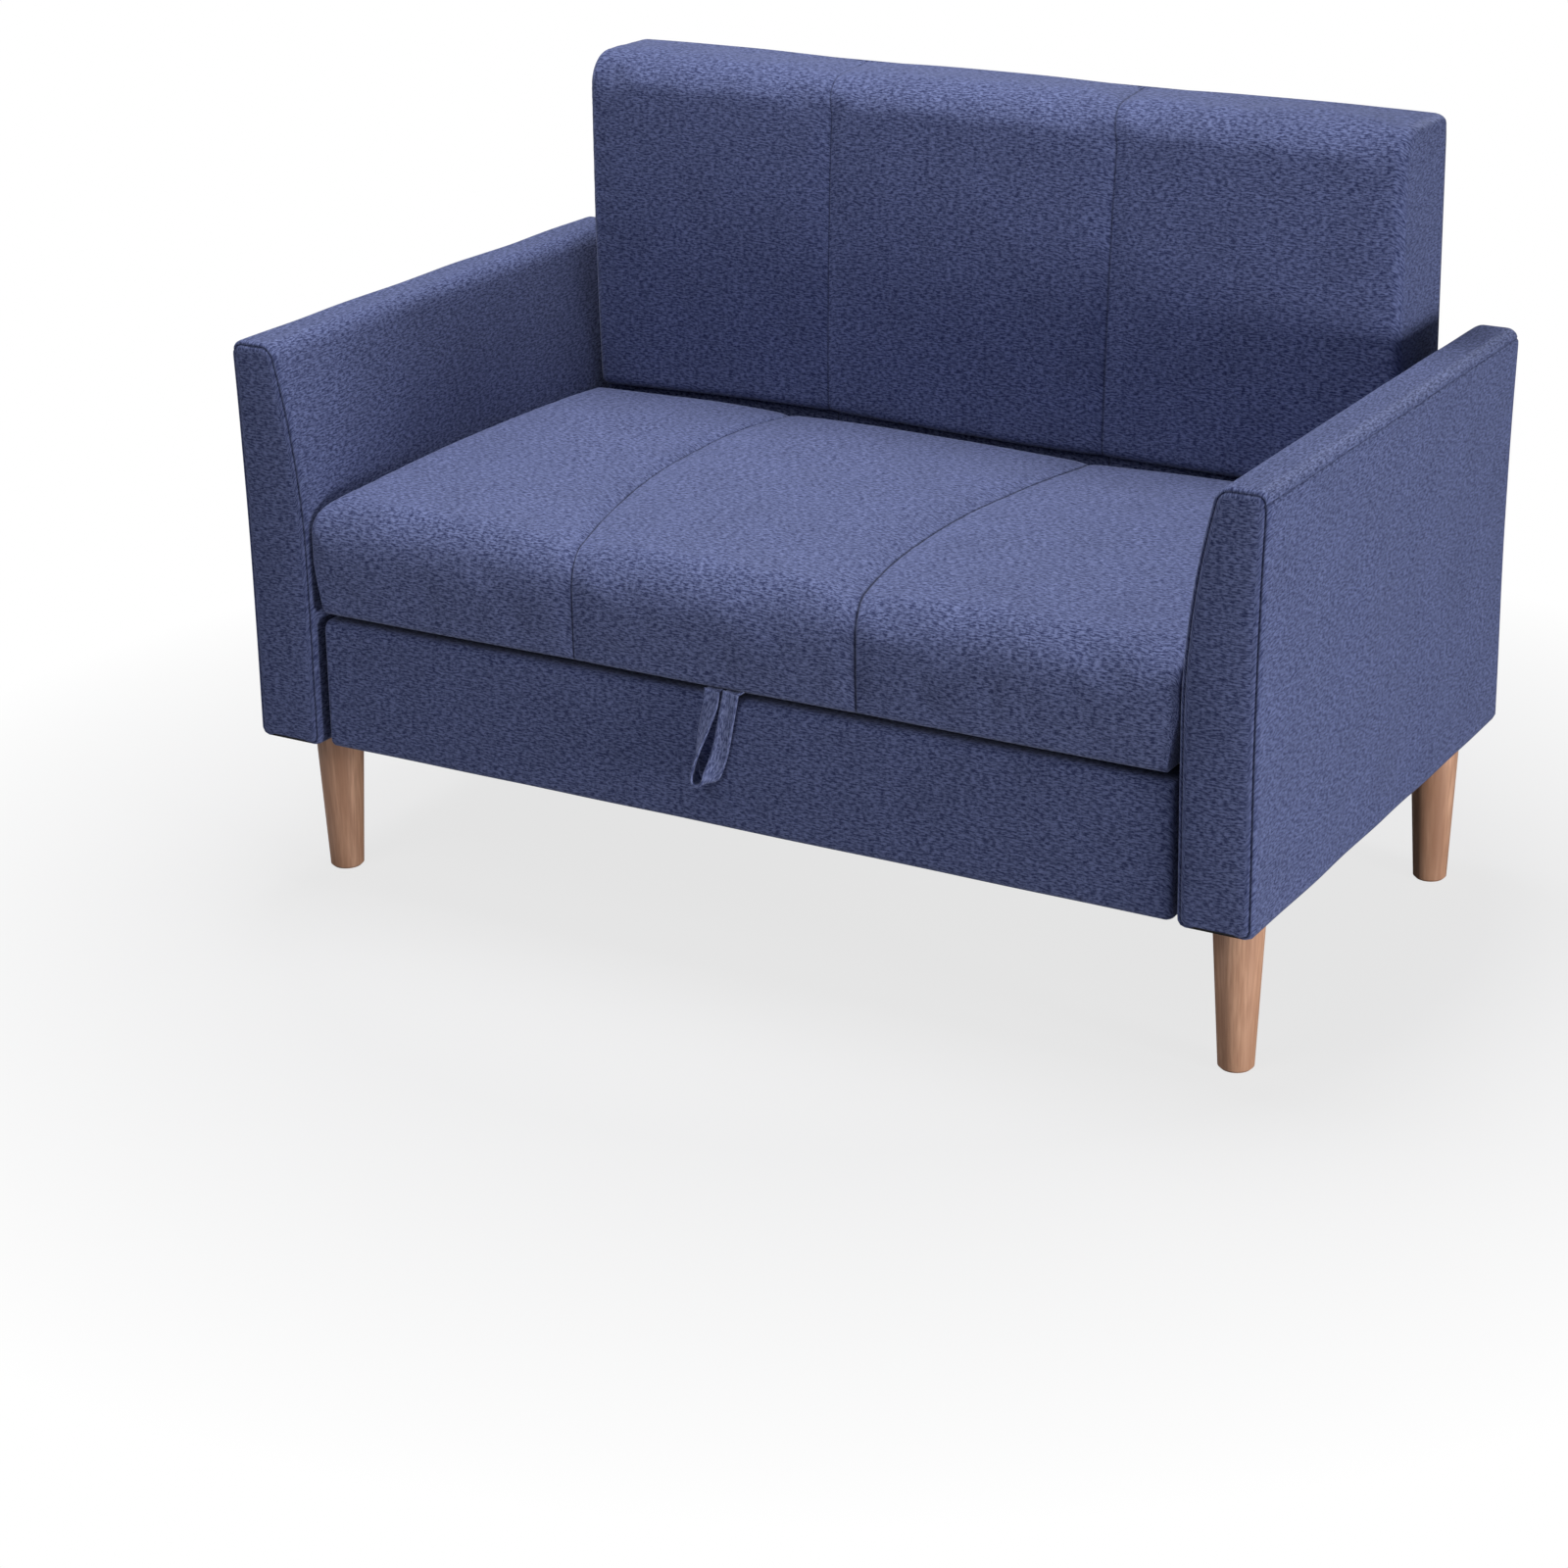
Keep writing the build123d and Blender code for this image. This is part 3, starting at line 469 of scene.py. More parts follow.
# %% [markdown]
# ## Seams that pull the padding in
# Where two panels are sewn through, the cloth turns inwards. The padding falls away to a soft valley, and the
# stitching itself is a narrow crease at the bottom of it. The thread gathers the cloth a little, so small
# puckers run out from the seam and die within a few centimetres. The same three terms serve the seat and the
# back, and a slow wander keeps the wide panels from looking machined.

# %% Seam shape
VALLEY_DEPTH = 0.0014
VALLEY_WIDTH = 0.009
CREASE_DEPTH = 0.0010
CREASE_WIDTH = 0.0012
GATHER_SHARE = 0.25
GATHER_SEED = 0.37
PUCKER_DEPTH = 0.0005
PUCKER_LENGTH = 0.015
PUCKER_START = 0.004
PUCKER_REACH = 0.016
WANDER_DEPTH = 0.0007
WANDER_LENGTH = 0.085
WANDER_SEED = 5.2
EDGE_STEPS = 4  # ring points over which the seams fade out at the cover's edge
# How dark the painted shade in a seam's crease is, and how much wider it is drawn at the right seam.
SEAM_SHADOW_STRENGTH = 0.9
RIGHT_GAPE = 1.7  # the right seam is pulled tighter, so its line is wider


def sewn_in(loop, x, seam_x, sewn_count, pull):
    """One ring of a channelled cushion, drawn in by a pull at the seams, with each point's painted seam
    shade.
    """
    distance = abs(x) - seam_x
    run = measured(loop)
    seed = (3.1 if x > 0 else 7.7) + (11.3 if distance > 0 else 0.0)
    gather = np.array([noise.noise(Vector((step / PUCKER_LENGTH, seed, GATHER_SEED))) for step in run])
    valley = mound(distance, VALLEY_DEPTH, 0.0, VALLEY_WIDTH) * (1 + GATHER_SHARE * gather)
    crease = mound(distance, CREASE_DEPTH, 0.0, CREASE_WIDTH)
    reach = math.exp(-abs(distance) / PUCKER_REACH) * (1 - mound(distance, 1.0, 0.0, PUCKER_START))
    wander = WANDER_DEPTH * slow_noise(x, run, WANDER_LENGTH, WANDER_SEED)
    depth = pull * (valley + crease + PUCKER_DEPTH * gather * reach) + wander
    order = np.arange(sewn_count)
    covered = np.zeros(len(loop))
    covered[:sewn_count] = np.clip(np.minimum(order, order[::-1]) / EDGE_STEPS, 0, 1)
    gape = RIGHT_GAPE if x > 0 else 1.0
    # Painted shade along the seam's crease.
    line = SEAM_SHADOW_STRENGTH * pull * seam_shadow_line(distance / gape) * (covered > 0)
    return loop - outward(loop) * (depth * covered)[:, None], line


def across_rings(ring_of, stations, seam_x, sewn_count, pull):
    """The slices of a channelled cushion as rings in space, with their painted seam shade."""
    rings, seams = [], []
    for x, hollow in stations:
        loop, seam = sewn_in(ring_of(x, hollow), x, seam_x, sewn_count, pull)
        rings.append(in_space(loop, 0, x))
        seams.append(seam)
    return np.array(rings), np.array(seams)


def fullness(x, seam_x, shoulder, at_end):
    """How far a panel swells: nothing at a seam, most between seams, and at_end where its end starts."""
    reach = abs(x)
    if reach < seam_x:
        return 1 - (reach / seam_x) ** 2
    share = min(1.0, (reach - seam_x) / (shoulder - seam_x))
    return (4 - at_end) * share - (4 - 2 * at_end) * share**2


def bitten(x, half, rounding):
    """How much a rounded end has dropped at this station."""
    share = max(0.0, (abs(x) - half + rounding) / rounding)
    return rounding * (1 - math.sqrt(max(0.0, 1 - share**2)))


def drifted(rings, shown, seam_x, wall, left, right):
    """Rings whose shown seams are moved sideways, with the panels between them drawn along."""
    x = rings[:, shown, 0]
    between = left + (right - left) * (x + seam_x) / (2 * seam_x)
    beyond = np.where(x < 0, left, right) * np.clip((wall - np.abs(x)) / (wall - seam_x), 0, 1)
    moved = rings.copy()
    moved[:, shown, 0] += np.where(np.abs(x) < seam_x, between, beyond)
    return moved


def with_wall(stations, wall):
    """Stations marked hollow or solid, with one of each kind where a hollow ends."""
    marked = [(x, abs(x) < wall) for x in stations if abs(abs(x) - wall) > 1e-4]
    marked += [(-wall, False), (-wall, True), (wall, True), (wall, False)]
    return sorted(marked, key=lambda pair: (pair[0], pair[1] != (pair[0] > 0)))


def bake(piece):
    """Gives a piece the mesh that its modifiers make, and clears them."""
    made = bpy.data.meshes.new_from_object(piece.evaluated_get(bpy.context.evaluated_depsgraph_get()))
    piece.modifiers.clear()
    piece.data = made


def carve(piece, boxes):
    """Cuts boxes out of a piece, as a recess is cut out of foam before it is covered."""
    for low, high in boxes:
        size = Vector(high) - Vector(low)
        place = Matrix.Translation((Vector(low) + Vector(high)) / 2) @ Matrix.Diagonal((*size, 1.0))
        block = bmesh.new()
        bmesh.ops.create_cube(block, size=1.0, matrix=place)
        cutter_mesh = bpy.data.meshes.new("cutter")
        block.to_mesh(cutter_mesh)
        block.free()
        cutter_mesh.materials.append(piece.data.materials[0])
        cutter = put("cutter", cutter_mesh)
        cut = piece.modifiers.new("recess", "BOOLEAN")
        cut.operation = "DIFFERENCE"
        cut.solver = "EXACT"
        cut.object = cutter
        bake(piece)
        bpy.data.objects.remove(cutter)

# %% [markdown]
# ## Let air fill the covers
# Foam pushes a cover out between its seams, and no formula gets that swelling quite right near a seam or
# a corner. So each cushion's plain form is copied, remeshed evenly, and blown up for a moment as cloth with
# its seams and hidden edges held. Only the movement is kept: it is capped to a few millimetres and carried
# over to the finely sliced form. The same settings give the same result every time.

# %% Cloth pressure
CLOTH_VOXEL = 0.009
CLOTH_PRESSURE = 4.0
CLOTH_FRAMES = 20
CLOTH_SLACK = 0.014
SWELL_LIMIT = 0.003
PROXY_PITCH = 0.016
PROXY_KEEP = 0.009
SEAM_HOLD = 0.008
SIDE_HOLD = 0.012
CARRY_NEAR = 6
CARRY_SOFTNESS = 0.002


def positions(mesh):
    """The points of a mesh as an array."""
    flat = np.empty(len(mesh.vertices) * 3)
    mesh.vertices.foreach_get("co", flat)
    return flat.reshape(-1, 3)


def holder(half, seam_x, low, rear):
    """A test for the points that are sewn or glued: seams, sides, and all below low or behind rear."""
    def held(points):
        x = np.abs(points[:, 0])
        sewn = (np.abs(x - seam_x) < SEAM_HOLD) | (x > half - SIDE_HOLD)
        return sewn | (points[:, 2] < low) | (points[:, 1] > rear)
    return held


def inflated(name, rings, tall, wide, held):
    """Where the points of a plain form start, and how far pressure moves them."""
    proxy = quilt(name, skin(rings, tall, wide, 0, np.zeros(rings.shape[:2])), [])
    remesh = proxy.modifiers.new("even", "REMESH")
    remesh.mode = "VOXEL"
    remesh.voxel_size = CLOTH_VOXEL
    bake(proxy)
    start = positions(proxy.data)
    sewn = proxy.vertex_groups.new(name="sewn")
    sewn.add([int(index) for index in np.flatnonzero(held(start))], 1.0, "REPLACE")
    cloth = proxy.modifiers.new("cover", "CLOTH")
    cloth.settings.vertex_group_mass = "sewn"
    cloth.settings.quality = 5
    cloth.settings.bending_stiffness = 2.0
    cloth.settings.shrink_min = -CLOTH_SLACK
    cloth.settings.use_pressure = True
    cloth.settings.uniform_pressure_force = CLOTH_PRESSURE
    cloth.settings.effector_weights.gravity = 0.0
    cloth.collision_settings.use_collision = False
    cloth.point_cache.frame_end = CLOTH_FRAMES
    for step in range(1, CLOTH_FRAMES + 1):
        bpy.context.scene.frame_set(step)
    end = positions(proxy.evaluated_get(bpy.context.evaluated_depsgraph_get()).data)
    bpy.data.objects.remove(proxy)
    bpy.context.scene.frame_set(1)
    shift = end - start
    reach = np.linalg.norm(shift, axis=1, keepdims=True)
    shift *= SWELL_LIMIT * np.tanh(reach / SWELL_LIMIT) / np.maximum(reach, 1e-9)
    print(name, len(start), "points, moved up to", round(float(reach.max()) * 1000, 1), "mm")
    return start, shift


def carried(points, start, shift):
    """The movement at other points, weighed from the nearest moved ones."""
    finder = KDTree(len(start))
    for index, place in enumerate(start):
        finder.insert(place, index)
    finder.balance()
    moved = np.zeros_like(points)
    for index, place in enumerate(points):
        found = finder.find_n(place, CARRY_NEAR)
        weights = np.array([1 / (distance + CARRY_SOFTNESS) for _, _, distance in found])
        moved[index] = weights @ shift[[found_index for _, found_index, _ in found]] / weights.sum()
    return moved


def swollen(name, ring_of, stations, rings, tall, wide, held, room):
    """Rings with the cover's swelling added, as far as there is room for it."""
    plain = [x for x, hollow in stations if not hollow or abs(x) % PROXY_PITCH < PROXY_KEEP]
    form = np.array([in_space(ring_of(x, False), 0, x) for x in plain])
    start, shift = inflated(name, form, tall, wide, held)
    visible = slice(0, 2 * tall + wide + 1)
    moved = rings.copy()
    flat = rings[:, visible].reshape(-1, 3)
    swell = carried(flat, start, shift) * room(flat)[:, None]
    moved[:, visible] += swell.reshape(len(rings), -1, 3)
    return moved

# %% [markdown]
# ## The seat cushion
# The seat is the lid of the storage box: one thick block of foam in three sewn channels, crowned in the
# middle, with a wide round at the front edge and sides that tuck in above the arms. It is glued over a
# wooden frame, so its underside is hollow to just above the deck, and its rear corners are cut away for the
# pivots. Its slices are taken across X. The seams don't run straight: they stray sideways, most near Y = 0.

# %% Seat cushion
SEAT_SEAM_X = 0.165
SEAT_CROWN = 0.008
SEAT_PUFF = 0.004
SEAT_FRONT_ROUND = 0.042
SEAT_REAR_ROUND = 0.013
SEAT_REAR_SWELL = 0.0075
SEAT_SIDE_ROUND = 0.015
SEAT_END_FULLNESS = 1.0
HUMP_HEIGHT = 0.006  # of the rear edge, where the seat has been sat on least
HUMP_X = -0.20
HUMP_WIDTH = 0.20
HUMP_REACH_Y = (0.0, 0.17)
HUMP_ABOVE_DECK = 0.02
HUMP_BELOW_TOP = 0.01
SEAT_HELD_LOW = 0.02
SEAT_HELD_REAR = 0.05
SEAT_ROOM_REAR = (0.16, 0.03)  # before the rear edge, where the room starts to shrink and where it ends
SEAT_SIDE_TUCK = 0.011
SEAT_TUCK_HEIGHT = 0.055
SEAT_LIP = 0.007
SEAT_LIP_HEIGHT = 0.010
SEAT_LIP_LEAN = 0.001
SEAT_HEEL = 0.009
FOAM_GAP = 0.0003
SEAT_TALL = 30
SEAT_WIDE = 112
SEAT_UNDER_STEPS = (3, 5, SEAT_WIDE - 16, 5, 3)
POCKET_GAP = 0.004
POCKET_INSIDE_PIN = 0.0188
POCKET_PAST = (0.01, 0.03, 0.01)  # how far the cutting block stands out at the side, rear and underside
SEAT_DRIFT = (  # place along Y, and how far the left and the right seam stray there
    (-0.326, -0.007, -0.010), (-0.170, -0.050, -0.037), (0.0, -0.078, -0.036), (0.190, -0.064, -0.018))

seat_low, seat_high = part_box("seat_cushion")
deck_low, deck_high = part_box("seat_deck")
plate_low, plate_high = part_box("lid_plate_right")
seat_half = seat_high[0]
seat_top = seat_high[2] - SEAT_CROWN
seat_edge_height = seat_top - seat_low[2]
seat_wall = deck_high[0] + FOAM_GAP


def hump(x):
    """How much the seat's rear edge rises at this station."""
    return mound(x, HUMP_HEIGHT, HUMP_X, HUMP_WIDTH)


def seat_ring(x, hollow):
    """One slice of the seat as (y, z) points: up the front, over the top, down the rear, back underneath."""
    full = fullness(x, SEAT_SEAM_X, seat_half - SEAT_SIDE_ROUND, SEAT_END_FULLNESS)
    slack = SEAT_PUFF * (1 - full)
    bite = bitten(x, seat_half, SEAT_SIDE_ROUND)
    tucked = max(0.0, (abs(x) - seat_half + SEAT_SIDE_TUCK) / SEAT_SIDE_TUCK)
    base = seat_low[2] + SEAT_TUCK_HEIGHT * tucked
    top = seat_top - slack - bite
    share = (top - base) / seat_edge_height
    front = seat_low[1] + slack / 2 + bite / 4
    rear = seat_high[1] + SEAT_REAR_SWELL - bite / 2
    front_round = SEAT_FRONT_ROUND * share
    rear_round = SEAT_REAR_ROUND * share
    lip_end = (front, base + SEAT_LIP_HEIGHT * share)
    lip = quarter((front + SEAT_LIP, base), (front + SEAT_LIP_LEAN, base), lip_end)
    brow = quarter((front, top - front_round), (front, top), (front + front_round, top))
    brow_low, brow_high = halves(brow)
    heel_high, heel_low = halves(quarter((rear - rear_round, top), (rear, top), (rear, top - rear_round)))
    heel = quarter((rear, base + SEAT_HEEL), (rear, base), (rear - SEAT_HEEL, base))
    run = np.linspace(-1, 1, 41)[1:-1]
    crown = np.stack([
        (brow_high[-1, 0] + heel_high[0, 0]) / 2 + run * (heel_high[0, 0] - brow_high[-1, 0]) / 2,
        top + SEAT_CROWN * share * (1 - run**2)], axis=1)
    under = spaced([heel[-1], lip[0]], SEAT_WIDE)
    if hollow:
        ceiling = deck_high[2] + FOAM_GAP
        rear_wall = deck_high[1] + FOAM_GAP
        front_wall = deck_low[1] - FOAM_GAP
        corners = [
            heel[-1], (rear_wall, base), (rear_wall, ceiling),
            (front_wall, ceiling), (front_wall, base), lip[0]]
        under = stepped(np.array(corners), SEAT_UNDER_STEPS)
    loop = ring([
        spaced(np.vstack([lip, brow_low]), SEAT_TALL),
        spaced(np.vstack([brow_high, crown, heel_high]), SEAT_WIDE),
        spaced(np.vstack([heel_low, heel]), SEAT_TALL),
        under])
    high_up = eased(loop[:, 1], deck_high[2] + HUMP_ABOVE_DECK, seat_top - HUMP_BELOW_TOP)
    loop[:, 1] += hump(x) * (eased(loop[:, 0], *HUMP_REACH_Y) * high_up)
    return loop


def seat_room(points):
    """Room to swell: none at the rear edge, which passes close to the back when the seat lifts."""
    return 1 - eased(points[:, 1], seat_high[1] - SEAT_ROOM_REAR[0], seat_high[1] - SEAT_ROOM_REAR[1])


seat_stations = with_wall(across(seat_half, SEAT_SEAM_X, SEAT_SIDE_ROUND), seat_wall)
seat_shown = slice(0, 2 * SEAT_TALL + SEAT_WIDE + 1)
seat_rings, seat_seam_shadows = across_rings(seat_ring, seat_stations, SEAT_SEAM_X, seat_shown.stop, 1.0)
seat_held = holder(
    seat_half, SEAT_SEAM_X, low=seat_low[2] + SEAT_HELD_LOW, rear=seat_high[1] - SEAT_HELD_REAR)
seat_rings = swollen(
    "seat_air", seat_ring, seat_stations, seat_rings, SEAT_TALL, SEAT_WIDE, seat_held, seat_room)
drift_y, drift_left, drift_right = np.array(SEAT_DRIFT).T
seat_y = np.clip(seat_rings[:, seat_shown, 1], drift_y[0], drift_y[-1])
seat_left = np.polyval(np.polyfit(drift_y, drift_left, 3), seat_y)
seat_right = np.polyval(np.polyfit(drift_y, drift_right, 3), seat_y)
seat_rings = drifted(seat_rings, seat_shown, SEAT_SEAM_X, seat_wall, seat_left, seat_right)
seat_pad = quilt("seat_pad", skin(seat_rings, SEAT_TALL, SEAT_WIDE, 0, seat_seam_shadows), [navy_seat_lit])
past_side, past_rear, past_base = POCKET_PAST
pocket_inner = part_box("pivot_pins")[1][0] - POCKET_INSIDE_PIN
pocket_outer = seat_half + past_side
pocket_low = (plate_low[1] - POCKET_GAP, seat_low[2] - past_base)
pocket_high = (seat_high[1] + past_rear, plate_high[2] + POCKET_GAP)
carve(seat_pad, [
    ((pocket_inner, *pocket_low), (pocket_outer, *pocket_high)),
    ((-pocket_outer, *pocket_low), (-pocket_inner, *pocket_high))])
print("seat pad", len(seat_pad.data.vertices), "points")

# %% [markdown]
# ## The back cushion
# The back is built like the seat but stands upright: three channels over a board, a rounded brow along the
# top, and a belly that leans out a little at the height of a sitter's shoulders. It wraps the wooden frame,
# so it is hollow from behind, where the rear cover closes it. Low down its face steps back to a recess, which
# the seat hides: the seat's rear edge turns into it when the lid is lifted.

# %% Back cushion
BACK_SEAM_X = 0.168
BACK_BELLY = 0.006
BACK_PUFF = 0.003
BACK_TOP_ROUND = 0.034
BACK_SIDE_ROUND = 0.013
BACK_REAR_ROUND = 0.006
BACK_TUCK = 0.008
BACK_LIP = 0.012
BACK_RECESS = 0.0205
LID_SWING = math.radians(40)
BACK_LEDGE_RISE = -0.0021
LEDGE_LIFT = 0.0030  # more room where the fullest channel of the seat turns in
LEDGE_LIFT_X = -0.33
LEDGE_LIFT_WIDTH = 0.13
BACK_LEDGE_ROUND = 0.006
BACK_END_FULLNESS = 0.6
BACK_PULL = 0.65
BACK_DRIFT = (  # path up the face and over the top, and how far the left and the right seam stray there
    (0.43, -0.019, -0.013), (0.78, -0.008, 0.002), (0.89, -0.023, -0.017))
BACK_TALL = 150
BACK_WIDE = 28
BACK_HELD_LOW = 0.022
BACK_HELD_REAR = 0.03
BACK_ROOM_RISE = (0.02, 0.20)  # above the seat, where the room starts to grow and where it is full
BACK_STUB_STEPS = 5
BACK_CEILING_STEPS = 15
BACK_BOARD_STEPS = BACK_TALL - BACK_STUB_STEPS - BACK_CEILING_STEPS

back_low, back_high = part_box("back_cushion")
panel_low, panel_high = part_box("back_panel")
back_half = back_high[0]
back_face = back_low[1] + BACK_PUFF + BACK_BELLY - BACK_TUCK / 2
back_wall = panel_high[0] + FOAM_GAP


def back_ring(x, hollow):
    """One slice of the back as (y, z) points: up the front, over the top, down the rear, back underneath."""
    full = fullness(x, BACK_SEAM_X, back_half - BACK_SIDE_ROUND, BACK_END_FULLNESS)
    bite = bitten(x, back_half, BACK_SIDE_ROUND)
    base = back_low[2]
    top = back_high[2] - BACK_PUFF * (1 - full) - bite / 2
    front = back_face - BACK_PUFF * full + bite
    rear = back_high[1]
    brow = top - BACK_TOP_ROUND
    ledge = seat_top + BACK_LEDGE_RISE + hump(x) + mound(x, LEDGE_LIFT, LEDGE_LIFT_X, LEDGE_LIFT_WIDTH)
    recess = back_face + BACK_RECESS + hump(x) * math.sin(LID_SWING)
    low = (ledge + BACK_LIP - base) / (brow - base)
    climb = np.linspace(low, 1, 61)
    belly = front + BACK_TUCK * (1 - climb) - BACK_BELLY * 4 * climb * (1 - climb)
    face = np.stack([belly, base + climb * (brow - base)], axis=1)
    foot = face[0, 0]
    turn_in = quarter(
        (recess, ledge - BACK_LEDGE_ROUND), (recess, ledge), (recess - BACK_LEDGE_ROUND, ledge), 6)
    lip = np.vstack([
        [(recess, base)], turn_in, quarter((foot + BACK_LIP, ledge), (foot, ledge), face[0])])
    brow_low, brow_high = halves(quarter((front, brow), (front, top), (front + BACK_TOP_ROUND, top)))
    nape_start = (rear - BACK_REAR_ROUND, top)
    nape_end = (rear, top - BACK_REAR_ROUND)
    nape_high, nape_low = halves(quarter(nape_start, (rear, top), nape_end))
    down = spaced(np.vstack([nape_low, [(rear, base)]]), BACK_TALL)
    if hollow:
        ceiling = panel_high[2] + FOAM_GAP
        board = panel_low[1] - FOAM_GAP
        stub = np.vstack([spaced(nape_low, 3)[:-1], [(rear, ceiling)]])
        corners = np.array([(rear, ceiling), (board, ceiling), (board, base)])
        inside = stepped(corners, (BACK_CEILING_STEPS, BACK_BOARD_STEPS))
        down = np.vstack([spaced(stub, BACK_STUB_STEPS)[:-1], inside])
    return ring([
        spaced(np.vstack([lip, face[1:-1], brow_low]), BACK_TALL),
        spaced(np.vstack([brow_high, nape_high]), BACK_WIDE),
        down,
        spaced([down[-1], lip[0]], BACK_WIDE)])


def back_room(points):
    """Room to swell: none where the seat's rear edge passes, and all of it from elbow height on."""
    return eased(points[:, 2], seat_top + BACK_ROOM_RISE[0], seat_top + BACK_ROOM_RISE[1])


back_stations = with_wall(across(back_half, BACK_SEAM_X, BACK_SIDE_ROUND), back_wall)
back_shown = slice(0, BACK_TALL + BACK_WIDE + 2)
back_rings, back_seam_shadows = across_rings(back_ring, back_stations, BACK_SEAM_X, back_shown.stop, BACK_PULL)
back_held = holder(
    back_half, BACK_SEAM_X, low=seat_top + BACK_HELD_LOW, rear=back_high[1] - BACK_HELD_REAR)
back_rings = swollen(
    "back_air", back_ring, back_stations, back_rings, BACK_TALL, BACK_WIDE, back_held, back_room)
drift_path, drift_left, drift_right = np.array(BACK_DRIFT).T
over_brow = np.maximum(0, back_rings[:, back_shown, 1] - back_face - BACK_TOP_ROUND)
back_path = back_rings[:, back_shown, 2] + over_brow
back_left = np.interp(back_path, drift_path, drift_left)
back_right = np.interp(back_path, drift_path, drift_right)
back_rings = drifted(back_rings, back_shown, BACK_SEAM_X, back_wall, back_left, back_right)
back_pad = quilt("back_pad", skin(back_rings, BACK_TALL, BACK_WIDE, 0, back_seam_shadows), [navy])
print("back pad", len(back_pad.data.vertices), "points")

# %% [markdown]
# ## The arms
# Each arm is a slim padded box. One strip of cloth runs up the inner face and over the top, the outer side is
# a second panel sewn to it just below the top edge, and a narrow panel closes the front and the rear. The
# strip rolls over the edge of the frame before it meets the end panel, so the seam lies a few millimetres
# inside the outline, and the end panel stands a little proud of it. The slices are taken along Y, each one
# drawn in from the arm's outline by its own inset.

# %% Arms
ARM_FLARE = 0.0069
ARM_FLARE_Z = 0.300
ARM_CURVE_Z = 0.370
ARM_CURVE_RADIUS = 0.860
ARM_ROUND = 0.014
ARM_LEAST_ROUND = 0.004
ARM_FOOT_ROUND = 0.008
ARM_SOFTNESS = 0.0016
ARM_SOFT_LENGTH = 0.11
ARM_SOFT_SEED = 2.0
ARM_SEAM_DROP = 0.0065
# How dark the painted shade in the arms' seam creases is.
ARM_SEAM_SHADOW_STRENGTH = 0.42
ARM_VALLEY_DEPTH = 0.0006
ARM_VALLEY_WIDTH = 0.004
ARM_TALL = 84
ARM_WIDE = 18
ARM_STEP = 0.009
PANEL_SWELL = 0.0022
# The seam value in the third column is painted shade in the crease of the end seam.
EDGE_ROLL = (  # distance behind the front, inset from the outline, seam value
    (0.0085, 0.0, 0.0), (0.0062, 0.0002, 0.0), (0.0046, 0.0009, 0.0), (0.0035, 0.0019, 0.0),
    (0.0031, 0.0030, 0.0), (0.0036, 0.0037, 0.35), (0.0048, 0.0042, 1.0), (0.0036, 0.0047, 0.35),
    (0.0024, 0.0054, 0.0), (0.0017, 0.0068, 0.0), (0.0012, 0.0090, 0.0))

arm_low, arm_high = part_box("arm_cover_right")
flare_height = arm_high[2] - ARM_FLARE_Z
flare_radius = (flare_height**2 + ARM_FLARE**2) / (2 * ARM_FLARE)
arm_foot_x = arm_high[0] - ARM_FLARE


def lean(height, radius):
    """How far an arc that starts upright has moved sideways at a height."""
    return radius - np.sqrt(radius**2 - np.maximum(height, 0) ** 2)


def arm_ring(inset):
    """The outline of the right arm as (x, z) points, and how far along the outer side its seam runs."""
    top = arm_high[2] - inset
    base = arm_low[2] + inset / 2
    turn = max(ARM_ROUND - inset, ARM_LEAST_ROUND)
    low = np.linspace(base + ARM_FOOT_ROUND, top - turn, 60)
    heights = np.append(low, top)
    *inner, inner_top = arm_low[0] + inset + lean(heights - ARM_CURVE_Z, ARM_CURVE_RADIUS - inset)
    *outer, outer_top = arm_foot_x - inset + lean(heights - ARM_FLARE_Z, flare_radius + inset)
    toe_in = quarter((inner[0] + ARM_FOOT_ROUND, base), (inner[0], base), (inner[0], low[0]))
    toe_out = quarter((outer[0], low[0]), (outer[0], base), (outer[0] - ARM_FOOT_ROUND, base))
    in_low, in_high = halves(quarter((inner[-1], low[-1]), (inner_top, top), (inner_top + turn, top)))
    out_high, out_low = halves(quarter((outer_top - turn, top), (outer_top, top), (outer[-1], low[-1])))
    up = np.vstack([toe_in, np.stack([inner, low], axis=1)[1:-1], in_low])
    down = np.vstack([out_low, np.stack([outer, low], axis=1)[-2:0:-1], toe_out])
    fine = [side * step for step in FINE_STEPS[:5] for side in (-1, 1)]
    near = ARM_SEAM_DROP + np.array(sorted([0.0, *fine]))
    rest = np.linspace(near[-1], measured(down)[-1], ARM_TALL - len(near) + 1)
    places = np.concatenate([[0.0], near, rest[1:]])
    loop = ring([
        spaced(up, ARM_TALL),
        spaced(np.vstack([in_high, out_high]), ARM_WIDE),
        spaced(down, at=places),
        spaced([down[-1], up[0]], ARM_WIDE)])
    return loop, places - ARM_SEAM_DROP


def arm_stations():
    """Distances along Y with the inset and the painted shade of the end seam at each."""
    front = [(arm_low[1] + behind, inset, seam) for behind, inset, seam in EDGE_ROLL[::-1]]
    rear = [(arm_high[1] - behind, inset, seam) for behind, inset, seam in EDGE_ROLL]
    count = round((arm_high[1] - arm_low[1]) / ARM_STEP)
    middle = [(y, 0.0, 0.0) for y in np.linspace(front[-1][0], rear[0][0], count + 1)[1:-1]]
    return front + middle + rear


